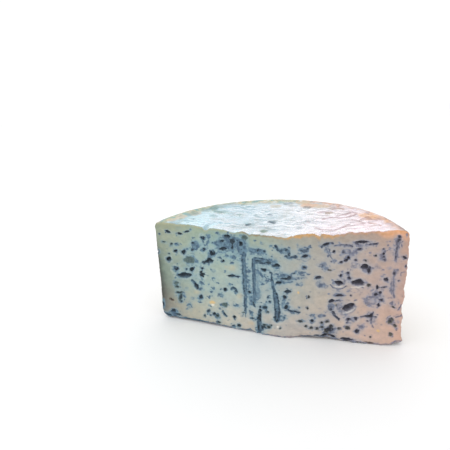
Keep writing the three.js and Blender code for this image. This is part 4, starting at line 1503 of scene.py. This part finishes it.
bsdf = node("ShaderNodeBsdfPrincipled")
links.new(base, bsdf.inputs["Base Color"])
bsdf.inputs["IOR"].default_value = 1.45
bsdf.inputs["Subsurface Weight"].default_value = 0.10
bsdf.inputs["Subsurface Radius"].default_value = (1.0, 0.75, 0.5)
bsdf.inputs["Subsurface Scale"].default_value = 0.0016

rough_paste = math_("ADD", 0.50, math_("MULTIPLY", math_("SUBTRACT", g_mid, 0.5), 0.30))
rough_veins = math_("ADD", rough_paste, math_("MULTIPLY", math_("MAXIMUM", m_mask, h_mask), 0.25))
rough_skin = math_("ADD", 0.62, math_("MULTIPLY", math_("SUBTRACT", g_mid, 0.5), 0.3))
wet = math_("MULTIPLY", a_gloss, ramp(g_flat, 0.28, 0.46))
rough_skin = math_("SUBTRACT", rough_skin, math_("MULTIPLY", wet, 0.34))
rm = node("ShaderNodeMix", data_type="FLOAT")
feed(rm.inputs[0], a_cut)
feed(rm.inputs[2], rough_skin)
feed(rm.inputs[3], rough_veins)
links.new(rm.outputs[0], bsdf.inputs["Roughness"])
links.new(math_("MULTIPLY", wet, 0.9), bsdf.inputs["Coat Weight"])
bsdf.inputs["Coat Roughness"].default_value = 0.16
bsdf.inputs["Coat IOR"].default_value = 1.45

# bump: crumbly cut, finely creased moist skin
b_cut = math_("ADD", math_("MULTIPLY", g_fine, 0.55), math_("MULTIPLY", grain(0.55, 2.0, 0.6, shift=0.5), 0.35))
crease = node("ShaderNodeTexVoronoi", feature="DISTANCE_TO_EDGE")
mp = node("ShaderNodeMapping")
links.new(coords, mp.inputs[0])
mp.inputs["Scale"].default_value = (0.6, 1.0, 1.0)
wob = node("ShaderNodeVectorMath", operation="ADD")
links.new(mp.outputs[0], wob.inputs[0])
nw = node("ShaderNodeTexNoise")
links.new(coords, nw.inputs["Vector"])
nw.inputs["Scale"].default_value = 260.0
sc = node("ShaderNodeVectorMath", operation="SCALE")
links.new(nw.outputs["Color"], sc.inputs[0])
sc.inputs["Scale"].default_value = 0.0030
links.new(sc.outputs[0], wob.inputs[1])
links.new(wob.outputs[0], crease.inputs["Vector"])
crease.inputs["Scale"].default_value = 200.0
b_skin = math_("ADD", math_("MULTIPLY", ramp(crease.outputs["Distance"], 0.0, 0.25), 0.22), math_("MULTIPLY", g_fine, 0.30))
bm = node("ShaderNodeMix", data_type="FLOAT")
feed(bm.inputs[0], a_cut)
feed(bm.inputs[2], b_skin)
feed(bm.inputs[3], b_cut)
bump = node("ShaderNodeBump")
bump.inputs["Strength"].default_value = 0.5
bump.inputs["Distance"].default_value = 0.0005
links.new(bm.outputs[0], bump.inputs["Height"])
links.new(bump.outputs[0], bsdf.inputs["Normal"])
out = node("ShaderNodeOutputMaterial")
links.new(bsdf.outputs[0], out.inputs["Surface"])
me.materials.append(mat)

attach(cheese, "root")
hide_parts("cheese_wedge")

# ---------------------------------------------------------------- floor, light, camera
bpy.ops.mesh.primitive_plane_add(size=60.0, location=(0, 0, 0))
floor = bpy.context.object
floor.name = "floor"
fm = bpy.data.materials.new("floor")
fm.use_nodes = True
fb_ = fm.node_tree.nodes["Principled BSDF"]
fb_.inputs["Base Color"].default_value = (0.95, 0.95, 0.95, 1)
fb_.inputs["Roughness"].default_value = 0.85
floor.data.materials.append(fm)

world = bpy.data.worlds.new("studio")
bpy.context.scene.world = world
world.use_nodes = True
bg = world.node_tree.nodes["Background"]
bg.inputs[0].default_value = (1.0, 1.0, 1.0, 1)
bg.inputs[1].default_value = 1.06


def softbox(name, at, target, size, power, colour):
    light = bpy.data.lights.new(name, "AREA")
    light.shape = "RECTANGLE"
    light.size, light.size_y = size
    light.energy = power
    light.color = colour
    o = bpy.data.objects.new(name, light)
    bpy.context.scene.collection.objects.link(o)
    at, target = Vector(at), Vector(target)
    o.location = at
    o.rotation_euler = (target - at).to_track_quat("-Z", "Y").to_euler()
    o.visible_camera = False
    return o


softbox("sheen_left", (-2.25, 2.7, 1.02), (0, 0, 0.08), (2.6, 1.3), 8.0, (0.58, 0.90, 1.0))
softbox("sheen_right", (0.15, 3.3, 1.02), (0, 0, 0.08), (2.6, 1.3), 8.0, (1.0, 0.84, 0.94))
softbox("overhead", (-0.3, 0.4, 2.2), (0, 0, 0.05), (1.6, 1.6), 2.0, (0.97, 0.99, 1.0))
softbox("left_fill", (-1.6, -1.4, 0.8), (-0.02, 0, 0.05), (1.2, 1.2), 1.6, (0.90, 0.98, 1.0))
softbox("right_fill", (1.6, -1.3, 0.7), (0.03, 0, 0.05), (1.2, 1.2), 1.6, (1.0, 0.95, 0.90))

cam = bpy.data.cameras.new("camera")
cam.sensor_width = 36.0
cam.lens = 32.0
cam.clip_start, cam.clip_end = 0.01, 20.0
camera = bpy.data.objects.new("camera", cam)
bpy.context.scene.collection.objects.link(camera)
PITCH, ROLL = math.radians(16.2515), -0.0544
ahead = Vector((-0.32377, 0.94614, 0.0)).normalized()
side = Vector((0.94614, 0.32377, 0.0)).normalized()
forward = ahead * math.cos(PITCH) + Vector((0, 0, -math.sin(PITCH)))
up0 = ahead * math.sin(PITCH) + Vector((0, 0, math.cos(PITCH)))
cx_ = side * math.cos(ROLL) + up0 * math.sin(ROLL)
cy_ = up0 * math.cos(ROLL) - side * math.sin(ROLL)
cz_ = -forward
M = Matrix(((cx_.x, cy_.x, cz_.x, 0.0642), (cx_.y, cy_.y, cz_.y, -0.33809), (cx_.z, cy_.z, cz_.z, 0.18113), (0, 0, 0, 1)))
camera.matrix_world = M
bpy.context.scene.camera = camera
bpy.context.scene.view_settings.view_transform = "Standard"
